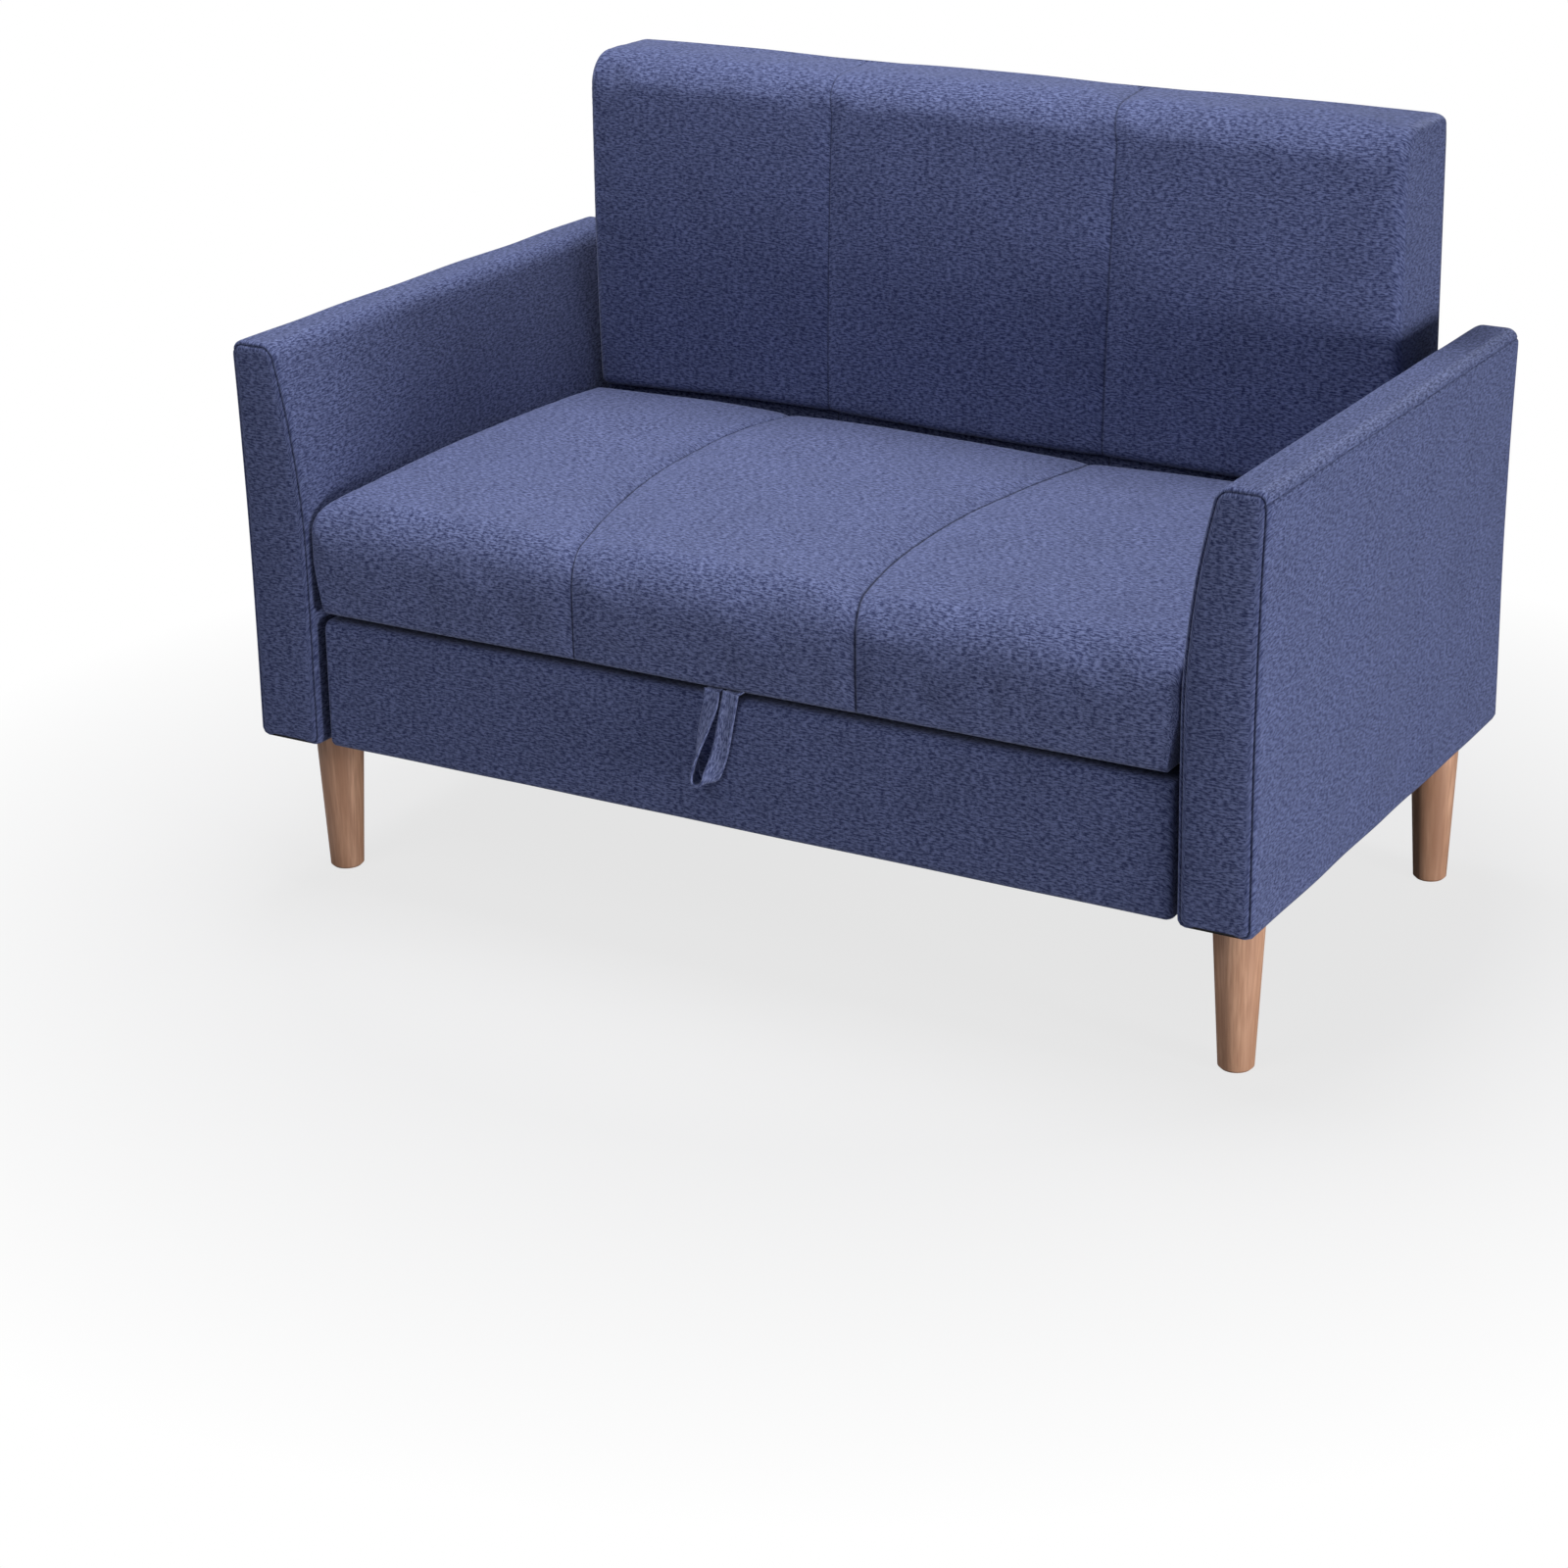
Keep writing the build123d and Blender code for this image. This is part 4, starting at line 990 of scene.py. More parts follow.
def make_arm(name, side):
    """The padded cover of one arm: side is 1 for the right arm and -1 for the left."""
    rings, seams = [], []
    outer_side = slice(ARM_TALL + ARM_WIDE, 2 * ARM_TALL + ARM_WIDE + 1)
    for y, inset, end_seam_shadow in arm_stations():
        loop, from_seam = arm_ring(inset)
        covered = np.zeros(len(loop))
        covered[: outer_side.stop] = 1.0
        soft = math.sin(math.pi * (y - arm_low[1]) / (arm_high[1] - arm_low[1])) ** 0.5
        slow = slow_noise(y, measured(loop), ARM_SOFT_LENGTH, ARM_SOFT_SEED + side)
        depth = ARM_SOFTNESS * soft * (slow - 0.5)
        depth[outer_side] += mound(from_seam, CREASE_DEPTH, 0.0, CREASE_WIDTH)
        depth[outer_side] += mound(from_seam, ARM_VALLEY_DEPTH, 0.0, ARM_VALLEY_WIDTH)
        loop = loop - outward(loop) * (depth * covered)[:, None]
        # Painted shade in the seam creases: the end seams and the seam below the top.
        seam = np.full(len(loop), end_seam_shadow) * covered
        seam[outer_side] = np.maximum(seam[outer_side], seam_shadow_line(from_seam))
        rings.append(in_space(loop * (side, 1), 1, y))
        seams.append(ARM_SEAM_SHADOW_STRENGTH * seam)
    slots = np.zeros(2 * (ARM_TALL + ARM_WIDE), int)
    slots[-ARM_WIDE + 1 : -1] = 1
    grids = skin(np.array(rings), ARM_TALL, ARM_WIDE, 1, np.array(seams), PANEL_SWELL, slots)
    return quilt(name, grids, [navy, black_felt])


arm_pad_right = make_arm("arm_pad_right", 1)
arm_pad_left = make_arm("arm_pad_left", -1)
print("arm pads", len(arm_pad_right.data.vertices), "points each")

# %% [markdown]
# ## The front panel
# A padded board closes the front of the storage box between the arms. Its cloth wraps the face, the top rim
# and both ends, and inside the box it gives way to black lining.

# %% Front panel
FRONT_ROUND = 0.009
FRONT_EDGE_ROUND = 0.007
FRONT_DROP = 0.0045
FRONT_BACKSET = 0.001
FRONT_SWELL = 0.0012
FRONT_WANDER = 0.0005
FRONT_WANDER_LENGTH = 0.12
FRONT_WANDER_SEED = 9.4
FRONT_TALL = 34
FRONT_WIDE = 12
FRONT_CLOTH_INSIDE = 8  # steps that the cloth reaches down inside the box

front_low, front_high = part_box("front_cover")
front_half = front_high[0]


def front_ring(x):
    """One slice of the front panel as (y, z) points."""
    bite = bitten(x, front_half, FRONT_EDGE_ROUND)
    swell = FRONT_SWELL * math.sqrt(max(0.0, 1 - (x / front_half) ** 2))
    front = front_low[1] + FRONT_BACKSET + bite
    rear = front_high[1] - bite / 2
    base = front_low[2] + bite / 2
    top = front_high[2] - FRONT_DROP - bite / 2
    edge = FRONT_EDGE_ROUND
    toe = quarter((front + edge, base), (front, base), (front, base + edge))
    brow = quarter((front, top - FRONT_ROUND), (front, top), (front + FRONT_ROUND, top))
    brow_low, brow_high = halves(brow)
    rim_high, rim_low = halves(quarter((rear - edge, top), (rear, top), (rear, top - edge)))
    heel = quarter((rear, base + edge), (rear, base), (rear - edge, base))
    climb = np.linspace(0, 1, 31)[1:-1]
    face = np.stack([
        front - swell * 4 * climb * (1 - climb),
        toe[-1, 1] + climb * (brow_low[0, 1] - toe[-1, 1])], axis=1)
    return ring([
        spaced(np.vstack([toe, face, brow_low]), FRONT_TALL),
        spaced(np.vstack([brow_high, rim_high]), FRONT_WIDE),
        spaced(np.vstack([rim_low, heel]), FRONT_TALL),
        spaced([heel[-1], toe[0]], FRONT_WIDE)])


front_rings = []
for x in across(front_half, SEAT_SEAM_X, FRONT_EDGE_ROUND):
    loop = front_ring(x)
    slow = slow_noise(x, measured(loop), FRONT_WANDER_LENGTH, FRONT_WANDER_SEED)
    loop = loop - outward(loop) * (FRONT_WANDER * slow)[:, None]
    front_rings.append(in_space(loop, 0, x))
front_rings = np.array(front_rings)
front_slots = np.zeros(2 * (FRONT_TALL + FRONT_WIDE), int)
front_slots[FRONT_TALL + FRONT_WIDE + FRONT_CLOTH_INSIDE :] = 1
front_grids = skin(
    front_rings, FRONT_TALL, FRONT_WIDE, 0, np.zeros(front_rings.shape[:2]), slots=front_slots)
front_pad = quilt("front_pad", front_grids, [navy, black_felt])
print("front panel", len(front_pad.data.vertices), "points")

# %% [markdown]
# ## The pull loop
# A strip of the cover cloth with both edges folded in and stitched makes the handle of the lid. Both ends are
# sewn under the front edge of the seat, side by side. A flat strip can't turn back on itself in its own
# plane, so the left strand turns edge on to the front as it comes down, and past the tip the strip soon
# lies flat again. It is swept along a short route that is rounded by cutting its corners three times.

# %% Pull loop
RIBBON_WIDTH = 0.0180
RIBBON_THICK = 0.0014
HEM_WIDTH = 0.0034
HEM_THICK = 0.0024
HEM_SOFT = 0.0005
HEM_EDGE_SHARE = 0.4
FOLD_OUTSIDE = 0.0004
FOLD_INSIDE = 0.0003
RIBBON_GAP = 0.0008
RIBBON_STEPS = 96
TAIL_POINTS = 9
# The strip is the cover cloth, made paler: painted light that its faces and folded edges catch.
STRIP_LIT_DARK = tone(54, 62, 102)
STRIP_LIT_PALE = tone(128, 137, 178)
LOOP_ROUTE = (  # across and up, from the left end down to the tip and up to the right end
    (-0.0062, 0.3176), (-0.0085, 0.3000), (-0.0152, 0.2760), (-0.0222, 0.2470), (-0.0252, 0.2255),
    (-0.0210, 0.2185), (-0.0105, 0.2200), (-0.0040, 0.2330), (0.0025, 0.2560), (0.0085, 0.2860),
    (0.0150, 0.3176))
LOOP_TWIST = (  # share of the length, and share of the half turn reached there
    (0.0, 0.0), (0.10, 0.04), (0.44, 0.47), (0.52, 0.56), (0.62, 0.96), (1.0, 1.0))


def rounded_route(points, times=3):
    """A route with its corners cut again and again until it is smooth."""
    points = np.array(points, float)
    for _ in range(times):
        early = points[:-1] * 0.75 + points[1:] * 0.25
        late = points[:-1] * 0.25 + points[1:] * 0.75
        cut = np.stack([early, late], axis=1).reshape(-1, points.shape[1])
        points = np.vstack([points[:1], cut[1:-1], points[-1:]])
    return points


def unit(vectors):
    """Vectors of length one."""
    return vectors / np.linalg.norm(vectors, axis=1, keepdims=True)


def hemmed_profile():
    """The strip's cross-section, as distances across it and out of its face."""
    edge = RIBBON_WIDTH / 2
    fold = edge - HEM_WIDTH
    thin = RIBBON_THICK / 2
    thick = HEM_THICK / 2
    right = [
        (fold - FOLD_INSIDE, thin), (fold + FOLD_OUTSIDE, thick),
        (edge - HEM_SOFT, thick), (edge, thick * HEM_EDGE_SHARE)]
    left = [(-across_it, out) for across_it, out in right[::-1]]
    upper = [*left, (0.0, thin), *right]
    return np.array(upper + [(across_it, -out) for across_it, out in upper[::-1]])


def strip(name, centres, widths, material):
    """A hemmed strip along a row of centres whose width runs along the given directions."""
    run = unit(np.gradient(centres, axis=0))
    widths = unit(widths - run * np.sum(widths * run, axis=1, keepdims=True))
    faces = np.cross(run, widths)
    profile = hemmed_profile()
    profile = np.vstack([profile, profile[:1]])
    grid = centres[:, None] + widths[:, None] * profile[None, :, :1] + faces[:, None] * profile[None, :, 1:]
    lengths = np.repeat(measured(centres)[:, None], len(profile), axis=1)
    around = np.repeat(measured(profile)[None], len(centres), axis=0)
    cloth = np.stack([lengths, around], axis=-1)
    sides = np.zeros(len(profile) - 1, int)
    piece = quilt(name, [(grid, cloth, np.zeros(grid.shape[:2]), sides)], [material])
    return piece, widths, faces


# A paler copy of the cover cloth, painted light for the strip.
navy_strip_lit = cover_fabric("navy_strip_lit", STRIP_LIT_DARK, STRIP_LIT_PALE)
route = spaced(rounded_route(LOOP_ROUTE), RIBBON_STEPS)
share = measured(route) / measured(route)[-1]
twist = spaced(rounded_route(LOOP_TWIST), RIBBON_STEPS)
angles = -math.pi * np.interp(share, twist[:, 0], twist[:, 1])
loop_face = front_low[1] - FRONT_SWELL - RIBBON_GAP - HEM_THICK / 2
loop_centres = np.column_stack([
    route[:, 0], loop_face - RIBBON_WIDTH / 2 * np.abs(np.sin(angles)), route[:, 1]])
loop_widths = np.column_stack([np.cos(angles), np.sin(angles), np.zeros(len(angles))])
pull_ribbon, ribbon_widths, ribbon_faces = strip("pull_ribbon", loop_centres, loop_widths, navy_strip_lit)
tab_low, tab_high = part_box("loop_tabs")
tab_z = tab_high[2] - HEM_THICK / 2
tail_widths = np.tile((1.0, 0.0, 0.0), (TAIL_POINTS, 1))
loop_tails = []
for name, end in (("loop_tail_left", loop_centres[0]), ("loop_tail_right", loop_centres[-1])):
    tail_run = np.linspace((end[0], tab_low[1], tab_z), (end[0], tab_high[1], tab_z), TAIL_POINTS)
    loop_tails.append(strip(name, tail_run, tail_widths, navy_strip_lit)[0])
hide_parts("pull_loop")
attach(pull_ribbon, "pull_loop")
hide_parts("loop_tabs")
for tail in loop_tails:
    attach(tail, "seat_lid")
print("ribbon", round(measured(loop_centres)[-1] * 1000), "mm long")

# %% [markdown]
# ## Linings
# Two sheets close the hollow sides. A black non-woven cloth is stretched under the seat frame and stapled,
# and it hangs a millimetre between the rails. The rear of the back is the cover cloth, pulled over the
# stiles, and it sinks slightly in the bays between them and the rail at seat height.

# %% Linings
SHEET_THICK = 0.0008
LINING_SAG = 0.0012
LINING_ROUND = 0.004
LINING_EDGE = 0.025
LINING_CENTRE = 0.0125
REAR_SINK = 0.0022
REAR_CORNER_ROUND = 0.018
REAR_FOOT_EDGE = 0.03
REAR_TOP_EDGE = 0.05
RAIL_CLEAR = 0.006
SHEET_TALL = 60
SHEET_WIDE = 90


def sheet_piece(name, low, high, along, rounding, sink, material):
    """A stretched sheet between two corners of a box, rounded at its top corners, pushed in by sink."""
    first, second = [axis for axis in range(3) if axis != along]
    left = low[first]
    right = high[first]
    bottom = low[second]
    top = high[second]
    left_low, left_high = halves(quarter((left, top - rounding), (left, top), (left + rounding, top)))
    right_high, right_low = halves(quarter((right - rounding, top), (right, top), (right, top - rounding)))
    outline = ring([
        spaced(np.vstack([[(left, bottom)], left_low]), SHEET_TALL),
        spaced(np.vstack([left_high, right_high]), SHEET_WIDE),
        spaced(np.vstack([right_low, [(right, bottom)]]), SHEET_TALL),
        spaced([(right, bottom), (left, bottom)], SHEET_WIDE)])
    rings = np.array([in_space(outline, along, side[along]) for side in (low, high)])
    grids = skin(rings, SHEET_TALL, SHEET_WIDE, along, np.zeros(rings.shape[:2]))
    for grid, _, _, _ in grids:
        grid[..., along] += sink(grid[..., first], grid[..., second])
    return quilt(name, grids, [material])


def bay(values, low, high):
    """Zero at both ends of a span and one in its middle."""
    return np.sqrt(np.maximum(0, np.sin(math.pi * np.clip((values - low) / (high - low), 0, 1))))


cover_low, cover_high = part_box("back_rear_cover")
stile_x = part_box("back_stile_right")[0][0]
centre_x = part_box("back_centre_stile")[1][0]
rail_low, rail_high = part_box("back_seat_rail")
dust_low, dust_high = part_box("seat_dust_cover")


def rear_sink(x, z):
    """How far the rear cloth sinks between the stiles, above and below the rail at seat height."""
    below = bay(z, cover_low[2] + REAR_FOOT_EDGE, rail_low[2] - RAIL_CLEAR)
    above = bay(z, rail_high[2] + RAIL_CLEAR, cover_high[2] - REAR_TOP_EDGE)
    return -REAR_SINK * bay(np.abs(x), centre_x, stile_x) * (below + above)


def lining_sag(x, y):
    """How far the lining hangs between the rails of the seat frame."""
    between_sides = bay(np.abs(x), LINING_CENTRE, dust_high[0] - LINING_EDGE)
    return -LINING_SAG * between_sides * bay(y, dust_low[1] + LINING_EDGE, dust_high[1] - LINING_EDGE)


rear_high = (cover_high[0], cover_low[1] + SHEET_THICK, cover_high[2])
rear_sheet = sheet_piece("rear_sheet", cover_low, rear_high, 1, REAR_CORNER_ROUND, rear_sink, navy)
lining_low = (dust_low[0], dust_low[1], dust_high[2] - SHEET_THICK)
seat_lining = sheet_piece("seat_lining", lining_low, dust_high, 2, LINING_ROUND, lining_sag, black_felt)
REAR_HOLDERS = ["back_stile_left", "back_stile_right"]
LINING_HOLDERS = ["seat_front_rail", "seat_rear_rail"]
SHEETS = (
    (rear_sheet, "back_rear_cover", "base", (0, 2), "navy_fabric", REAR_HOLDERS),
    (seat_lining, "seat_dust_cover", "seat_lid", (0, 1), "black_lining", LINING_HOLDERS))
for piece, node_name, body, sides, slot_name, held_by in SHEETS:
    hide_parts(node_name)
    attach(piece, body)
print("sheets", [piece.name for piece, *_ in SHEETS])

# %% [markdown]
# ## Small repeated fixings
# Stitches, staples and screw heads are set out by one Geometry Nodes tree. It takes a cloud of points that
# know which way they face and which way they run, puts a copy of one small shape on each, turns each copy a
# little at random from a fixed seed, and makes the copies real. The tree ends in the fixing's own material.

# %% Tree that sets out fixings
def fixing_tree():
    """Instances a shape on points, faced by two stored directions."""
    tree = bpy.data.node_groups.new("set_out_fixings", "GeometryNodeTree")
    tree.is_modifier = True
    sockets = (
        ("Points", "NodeSocketGeometry"), ("Shape", "NodeSocketObject"), ("Turn", "NodeSocketFloat"),
        ("Seed", "NodeSocketInt"), ("Finish", "NodeSocketMaterial"))
    for name, kind in sockets:
        tree.interface.new_socket(name, in_out="INPUT", socket_type=kind)
    tree.interface.new_socket("Fixings", in_out="OUTPUT", socket_type="NodeSocketGeometry")
    given = add(tree, "NodeGroupInput").outputs
    facing = add(tree, "GeometryNodeInputNamedAttribute", {"Name": "facing"}, data_type="FLOAT_VECTOR")
    running = add(tree, "GeometryNodeInputNamedAttribute", {"Name": "running"}, data_type="FLOAT_VECTOR")
    stood = add(tree, "FunctionNodeAlignRotationToVector", {"Vector": facing.outputs["Attribute"]}, axis="Z")
    aimed = add(tree, "FunctionNodeAlignRotationToVector", {
        "Rotation": stood.outputs["Rotation"], "Vector": running.outputs["Attribute"]},
        axis="X", pivot_axis="Z")
    least = add(tree, "ShaderNodeMath", {0: given["Turn"], 1: -1.0}, operation="MULTIPLY")
    chance = add(tree, "FunctionNodeRandomValue", {
        "Seed": given["Seed"], 2: least.outputs["Value"], 3: given["Turn"]}, data_type="FLOAT")
    spin = add(tree, "ShaderNodeCombineXYZ", {"Z": chance.outputs[1]})
    turned = add(tree, "FunctionNodeRotateRotation", {
        "Rotation": aimed.outputs["Rotation"], "Rotate By": spin.outputs["Vector"]}, rotation_space="LOCAL")
    shape = add(tree, "GeometryNodeObjectInfo", {"Object": given["Shape"]})
    copies = add(tree, "GeometryNodeInstanceOnPoints", {
        "Points": given["Points"], "Instance": shape.outputs["Geometry"],
        "Rotation": turned.outputs["Rotation"]})
    real = add(tree, "GeometryNodeRealizeInstances", {"Geometry": copies.outputs["Instances"]})
    finished = add(tree, "GeometryNodeSetMaterial", {
        "Geometry": real.outputs["Geometry"], "Material": given["Finish"]})
    add(tree, "NodeGroupOutput", {"Fixings": finished.outputs["Geometry"]})
    return tree


set_out = fixing_tree()


def fixings(name, places, facings, runs, shape, finish, body, turn=0.0, seed=1):
    """One object with a copy of shape at every place, riding on a body."""
    cloud = bpy.data.meshes.new(name + "_points")
    cloud.from_pydata([tuple(place) for place in places], [], [])
    for label, vectors in (("facing", facings), ("running", runs)):
        layer = cloud.attributes.new(label, "FLOAT_VECTOR", "POINT")
        layer.data.foreach_set("vector", np.array(vectors, float).reshape(-1))
    piece = put(name, cloud)
    modifier = piece.modifiers.new("set_out", "NODES")
    modifier.node_group = set_out
    values = {"Shape": shape, "Turn": turn, "Seed": seed, "Finish": finish}
    for item in set_out.interface.items_tree:
        if item.in_out == "INPUT" and item.name in values:
            modifier[item.identifier] = values[item.name]
    bake(piece)
    piece.data.name = name
    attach(piece, body)
    print(name, len(places), "copies", len(piece.data.polygons), "faces")


def template(name, build):
    """A small shape to copy, built by one function on an empty mesh."""
    shape = bmesh.new()
    build(shape)
    bmesh.ops.recalc_face_normals(shape, faces=shape.faces)
    mesh = bpy.data.meshes.new(name)
    shape.to_mesh(mesh)
    shape.free()
    return put(name, mesh)

# %% [markdown]
# A stitch is a short thread that dips in at both ends, a staple is a flat wire with its legs in the wood, and
# a screw is a pan head with a round recess. None needs more than a few dozen faces.

# %% Shapes of the fixings
STITCH_LENGTH = 0.0026
STITCH_RADIUS = 0.00035
STAPLE_LENGTH = 0.010
STAPLE_WIRE = 0.0006
SCREW_RADIUS = 0.0034
SCREW_HEIGHT = 0.0014
SCREW_SIDES = 16
SCREW_OUTLINE = (  # share of the radius and of the height, from the rim up and down into the recess
    (1.0, 0.0), (1.0, 0.4), (0.85, 0.85), (0.5, 1.0), (0.4, 0.45))


def build_stitch(shape):
    """A thread with pointed ends along X."""
    bmesh.ops.create_uvsphere(shape, u_segments=6, v_segments=4, radius=1.0)
    scale = Matrix.Diagonal((STITCH_LENGTH / 2, STITCH_RADIUS, STITCH_RADIUS, 1.0))
    upright = Matrix.Rotation(math.radians(90), 4, "Y")
    bmesh.ops.transform(shape, matrix=scale @ upright, verts=shape.verts)


def build_staple(shape):
    """A crown wire along X and the start of a leg at each end."""
    for x, length, z in ((0.0, STAPLE_LENGTH, 0.0), (-0.5, STAPLE_WIRE, -1.0), (0.5, STAPLE_WIRE, -1.0)):
        height = STAPLE_WIRE if z == 0 else 2 * STAPLE_WIRE
        size = Matrix.Diagonal((length, 2 * STAPLE_WIRE, height, 1.0))
        place = Matrix.Translation((x * (STAPLE_LENGTH - STAPLE_WIRE), 0.0, z * STAPLE_WIRE))
        bmesh.ops.create_cube(shape, size=1.0, matrix=place @ size)


def build_screw(shape):
    """A turned head with a recess in its top."""
    angles = [2 * math.pi * step / SCREW_SIDES for step in range(SCREW_SIDES)]
    rings = []
    for wide, tall in SCREW_OUTLINE:
        radius = wide * SCREW_RADIUS
        height = tall * SCREW_HEIGHT
        rings.append([shape.verts.new((radius * math.cos(a), radius * math.sin(a), height)) for a in angles])
    for lower, upper in zip(rings, rings[1:]):
        for step in range(SCREW_SIDES):
            after = (step + 1) % SCREW_SIDES
            shape.faces.new((lower[step], lower[after], upper[after], upper[step]))
    shape.faces.new(rings[-1])
    shape.faces.new(rings[0][::-1])


stitch = template("stitch_shape", build_stitch)
staple = template("staple_shape", build_staple)
screw = template("screw_shape", build_screw)
thread, _, thread_surface = shader("pale_thread", roughness=0.8)
thread_surface.inputs["Base Color"].default_value = tone(84, 92, 132)
print("shapes", [len(shape.data.polygons) for shape in (stitch, staple, screw)], "faces")

# %% [markdown]
# The stitches run down both hems on both faces of the ribbon. The staples hold the lining a little inside
# its edge. The screws hold the box's corner angles and the pivot brackets to the base, and the pivot plates
# to the lid, so they ride on the body that they are driven into.

# %% Stitches, staples and screws
STITCH_PITCH = 0.0034
STITCH_HEM_SHARE = 0.55
STAPLE_PITCH = 0.040
STAPLE_INSET = 0.009
STAPLE_PROUD = 0.0003
ANGLE_THICK = 0.002
ANGLE_REACH = 0.023
ANGLE_SCREW_RISE = 0.013
BRACKET_SCREW_RISES = (0.010, 0.028)
PLATE_SCREWS = ((0.008, 0.010), (0.008, 0.032), (0.026, 0.016))  # behind the front edge, above the lower one

stitch_places, stitch_faces, stitch_runs = [], [], []
hem_line = RIBBON_WIDTH / 2 - HEM_WIDTH * STITCH_HEM_SHARE
for edge in (-1, 1):
    for face in (-1, 1):
        line = loop_centres + edge * hem_line * ribbon_widths + face * HEM_THICK / 2 * ribbon_faces
        lengths = measured(line)
        at = np.arange(STITCH_PITCH, lengths[-1] - STITCH_PITCH, STITCH_PITCH)
        stitch_places += spaced(line, at=at).tolist()
        stitch_faces += (face * spaced(ribbon_faces, len(at) - 1)).tolist()
        stitch_runs += sampled(unit(np.gradient(line, axis=0)), lengths, at).tolist()
fixings(
    "loop_stitches", stitch_places, stitch_faces, stitch_runs, stitch, thread, "pull_loop")

left = dust_low[0] + STAPLE_INSET
right = dust_high[0] - STAPLE_INSET
front = dust_low[1] + STAPLE_INSET
rear = dust_high[1] - STAPLE_INSET
staple_corners = np.array([(left, front), (right, front), (right, rear), (left, rear), (left, front)])
staple_z = dust_high[2] - SHEET_THICK - STAPLE_PROUD
staple_places, staple_runs = [], []
for start, end in zip(staple_corners, staple_corners[1:]):
    gap = end - start
    count = int(np.linalg.norm(gap) // STAPLE_PITCH)
    for step in range(count):
        staple_places.append((*(start + gap * (step + 0.5) / count), staple_z))
        staple_runs.append((*gap, 0.0))
fixings(
    "lining_staples", staple_places, [(0, 0, -1)] * len(staple_places), staple_runs, staple, zinc,
    "seat_lid", turn=0.25, seed=4)

angle_low, angle_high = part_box("corner_angles")
bracket_low, bracket_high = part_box("pivot_bracket_right")
bracket_y = (bracket_low[1] + bracket_high[1]) / 2
base_screws = []
for side in (-1, 1):
    for y, inward in ((angle_low[1], 1), (angle_high[1], -1)):
        for z in (angle_low[2] + ANGLE_SCREW_RISE, angle_high[2] - ANGLE_SCREW_RISE):
            on_side = (side * (angle_high[0] - ANGLE_THICK), y + inward * ANGLE_REACH, z)
            on_end = (side * (angle_high[0] - ANGLE_REACH), y + inward * ANGLE_THICK, z)
            base_screws += [(on_side, (-side, 0, 0)), (on_end, (0, inward, 0))]
for side in (-1, 1):
    for rise in BRACKET_SCREW_RISES:
        base_screws.append(((side * bracket_low[0], bracket_y, bracket_low[2] + rise), (-side, 0, 0)))
plate_screws = []
for side in (-1, 1):
    for behind, rise in PLATE_SCREWS:
        place = (side * plate_high[0], plate_low[1] + behind, plate_low[2] + rise)
        plate_screws.append((place, (side, 0, 0)))
SCREW_SETS = (
    ("box_screws", base_screws, black_steel, "base", "black_steel", 2),
    ("lid_screws", plate_screws, zinc, "seat_lid", "zinc_steel", 3))
for name, screws, finish, body, slot_name, seed in SCREW_SETS:
    places, facings = zip(*screws)
    runs = [(0, 0, 1)] * len(screws)
    fixings(name, places, facings, runs, screw, finish, body, turn=1.5, seed=seed)
for shape in (stitch, staple, screw):
    bpy.data.objects.remove(shape)

# %% [markdown]
# ## Fasten the padded pieces to their bodies
# Each cover stands for the plain solid of the construction model, which is hidden, and rides on the same
# body.
# The table also lists how tightly each is filled, which nothing here reads.

# %% Attach the padded pieces
PADDING = (
    (seat_pad, "seat_cushion", "seat_lid", 0.9), (back_pad, "back_cushion", "base", 0.85),
    (arm_pad_right, "arm_cover_right", "base", 1.0), (arm_pad_left, "arm_cover_left", "base", 1.0),
    (front_pad, "front_cover", "base", 1.0))
for piece, node_name, body, fill in PADDING:
    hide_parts(node_name)
    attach(piece, body)
print("padded pieces", len(PADDING))

# %% [markdown]
# ## Floor and light
# The floor is pale and takes a soft shadow. Seen by the camera it is lifted towards white, as a studio floor
# under strong light is. A low light stands at the right, a large one fills from above at the front left, and
# one with a grid hangs over the seat. The surround is even and slightly blue.

# %% Stage
FLOOR_SIZE = 30.0
FLOOR_DROP = 0.0003
SHADOW_LIFT = 0.76
SHADOW_REACH = (0.65, 1.25)
SURROUND = 0.18
WHITE = (1.0, 1.0, 1.0, 1.0)

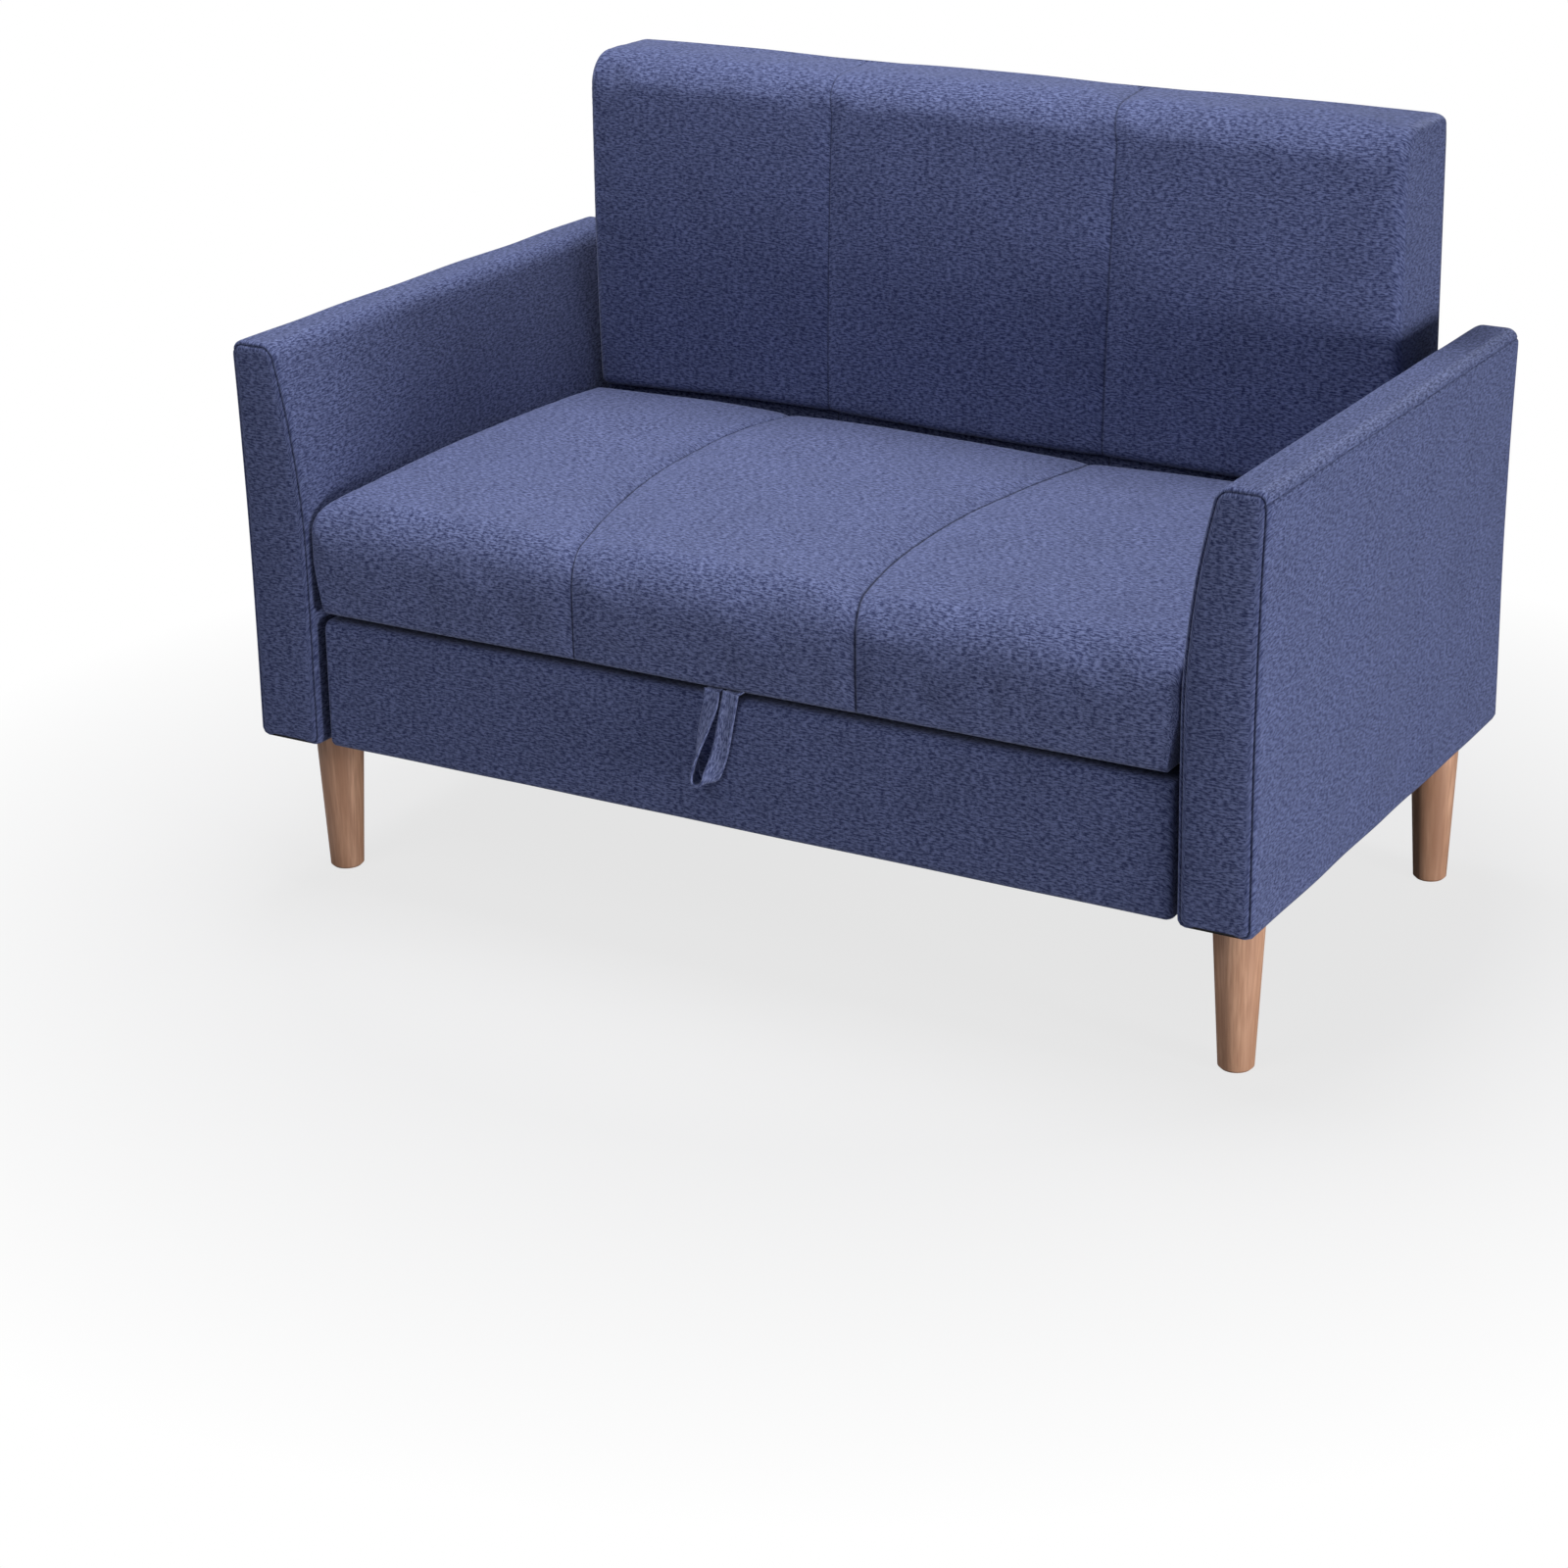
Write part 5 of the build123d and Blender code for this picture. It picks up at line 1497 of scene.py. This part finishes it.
reach = FLOOR_SIZE / 2
floor_mesh = bpy.data.meshes.new("studio_floor")
floor_mesh.from_pydata(
    [(-reach, -reach, 0), (reach, -reach, 0), (reach, reach, 0), (-reach, reach, 0)], [], [(0, 1, 2, 3)])
floor = put("studio_floor", floor_mesh)
floor.location.z = -FLOOR_DROP
floor_paint, tree, surface = shader("studio_floor", roughness=0.9, specular=0.1)
surface.inputs["Base Color"].default_value = (0.37, 0.37, 0.38, 1.0)
white = add(tree, "ShaderNodeEmission", {"Color": WHITE, "Strength": 1.0})
seen = add(tree, "ShaderNodeLightPath").outputs["Is Camera Ray"]
spot = add(tree, "ShaderNodeTexCoord").outputs["Object"]
away = add(tree, "ShaderNodeVectorMath", {0: spot}, operation="LENGTH").outputs["Value"]
whiter = add(tree, "ShaderNodeMapRange", {
    "Value": away, "From Min": SHADOW_REACH[0], "From Max": SHADOW_REACH[1],
    "To Min": SHADOW_LIFT, "To Max": 1.0})
lift = add(tree, "ShaderNodeMath", {0: seen, 1: whiter.outputs["Result"]}, operation="MULTIPLY")
blend = add(tree, "ShaderNodeMixShader", {
    0: lift.outputs["Value"], 1: surface.outputs["BSDF"], 2: white.outputs["Emission"]})
tree.links.new(blend.outputs["Shader"], tree.nodes["Material Output"].inputs["Surface"])
floor_mesh.materials.append(floor_paint)

world = bpy.data.worlds.new("studio")
world.use_nodes = True
bpy.context.scene.world = world
tree = world.node_tree
tree.nodes.clear()
path = add(tree, "ShaderNodeLightPath")
around = add(tree, "ShaderNodeBackground", {"Color": (0.82, 0.89, 1.0, 1.0), "Strength": SURROUND})
behind = add(tree, "ShaderNodeBackground", {"Color": WHITE, "Strength": 1.0})
blend = add(tree, "ShaderNodeMixShader", {
    0: path.outputs["Is Camera Ray"], 1: around.outputs["Background"], 2: behind.outputs["Background"]})
add(tree, "ShaderNodeOutputWorld", {"Surface": blend.outputs["Shader"]})


def softbox(name, place, aim, size, power, spread=180):
    """A square light that faces a point, with a grid that narrows its beam to a spread in degrees."""
    data = bpy.data.lights.new(name, "AREA")
    data.size = size
    data.energy = power
    data.spread = math.radians(spread)
    lamp = put(name, data)
    lamp.location = place
    lamp.rotation_euler = (Vector(place) - Vector(aim)).to_track_quat("Z", "Y").to_euler()
    return lamp


side_light = softbox("side_light", (3.2, -0.7, 0.38), (0.5, 0, 0.4), 0.6, 68.0)
fill_light = softbox("fill_light", (-0.8, -2.9, 2.6), (0, 0, 0.4), 2.0, 32.0)
top_light = softbox("top_light", (-0.35, 0.1, 2.7), (0.03, -0.15, 0.4), 1.5, 27.0, spread=110)
bpy.context.scene.view_settings.view_transform = "Standard"
print("lights", side_light.data.energy, fill_light.data.energy, top_light.data.energy)
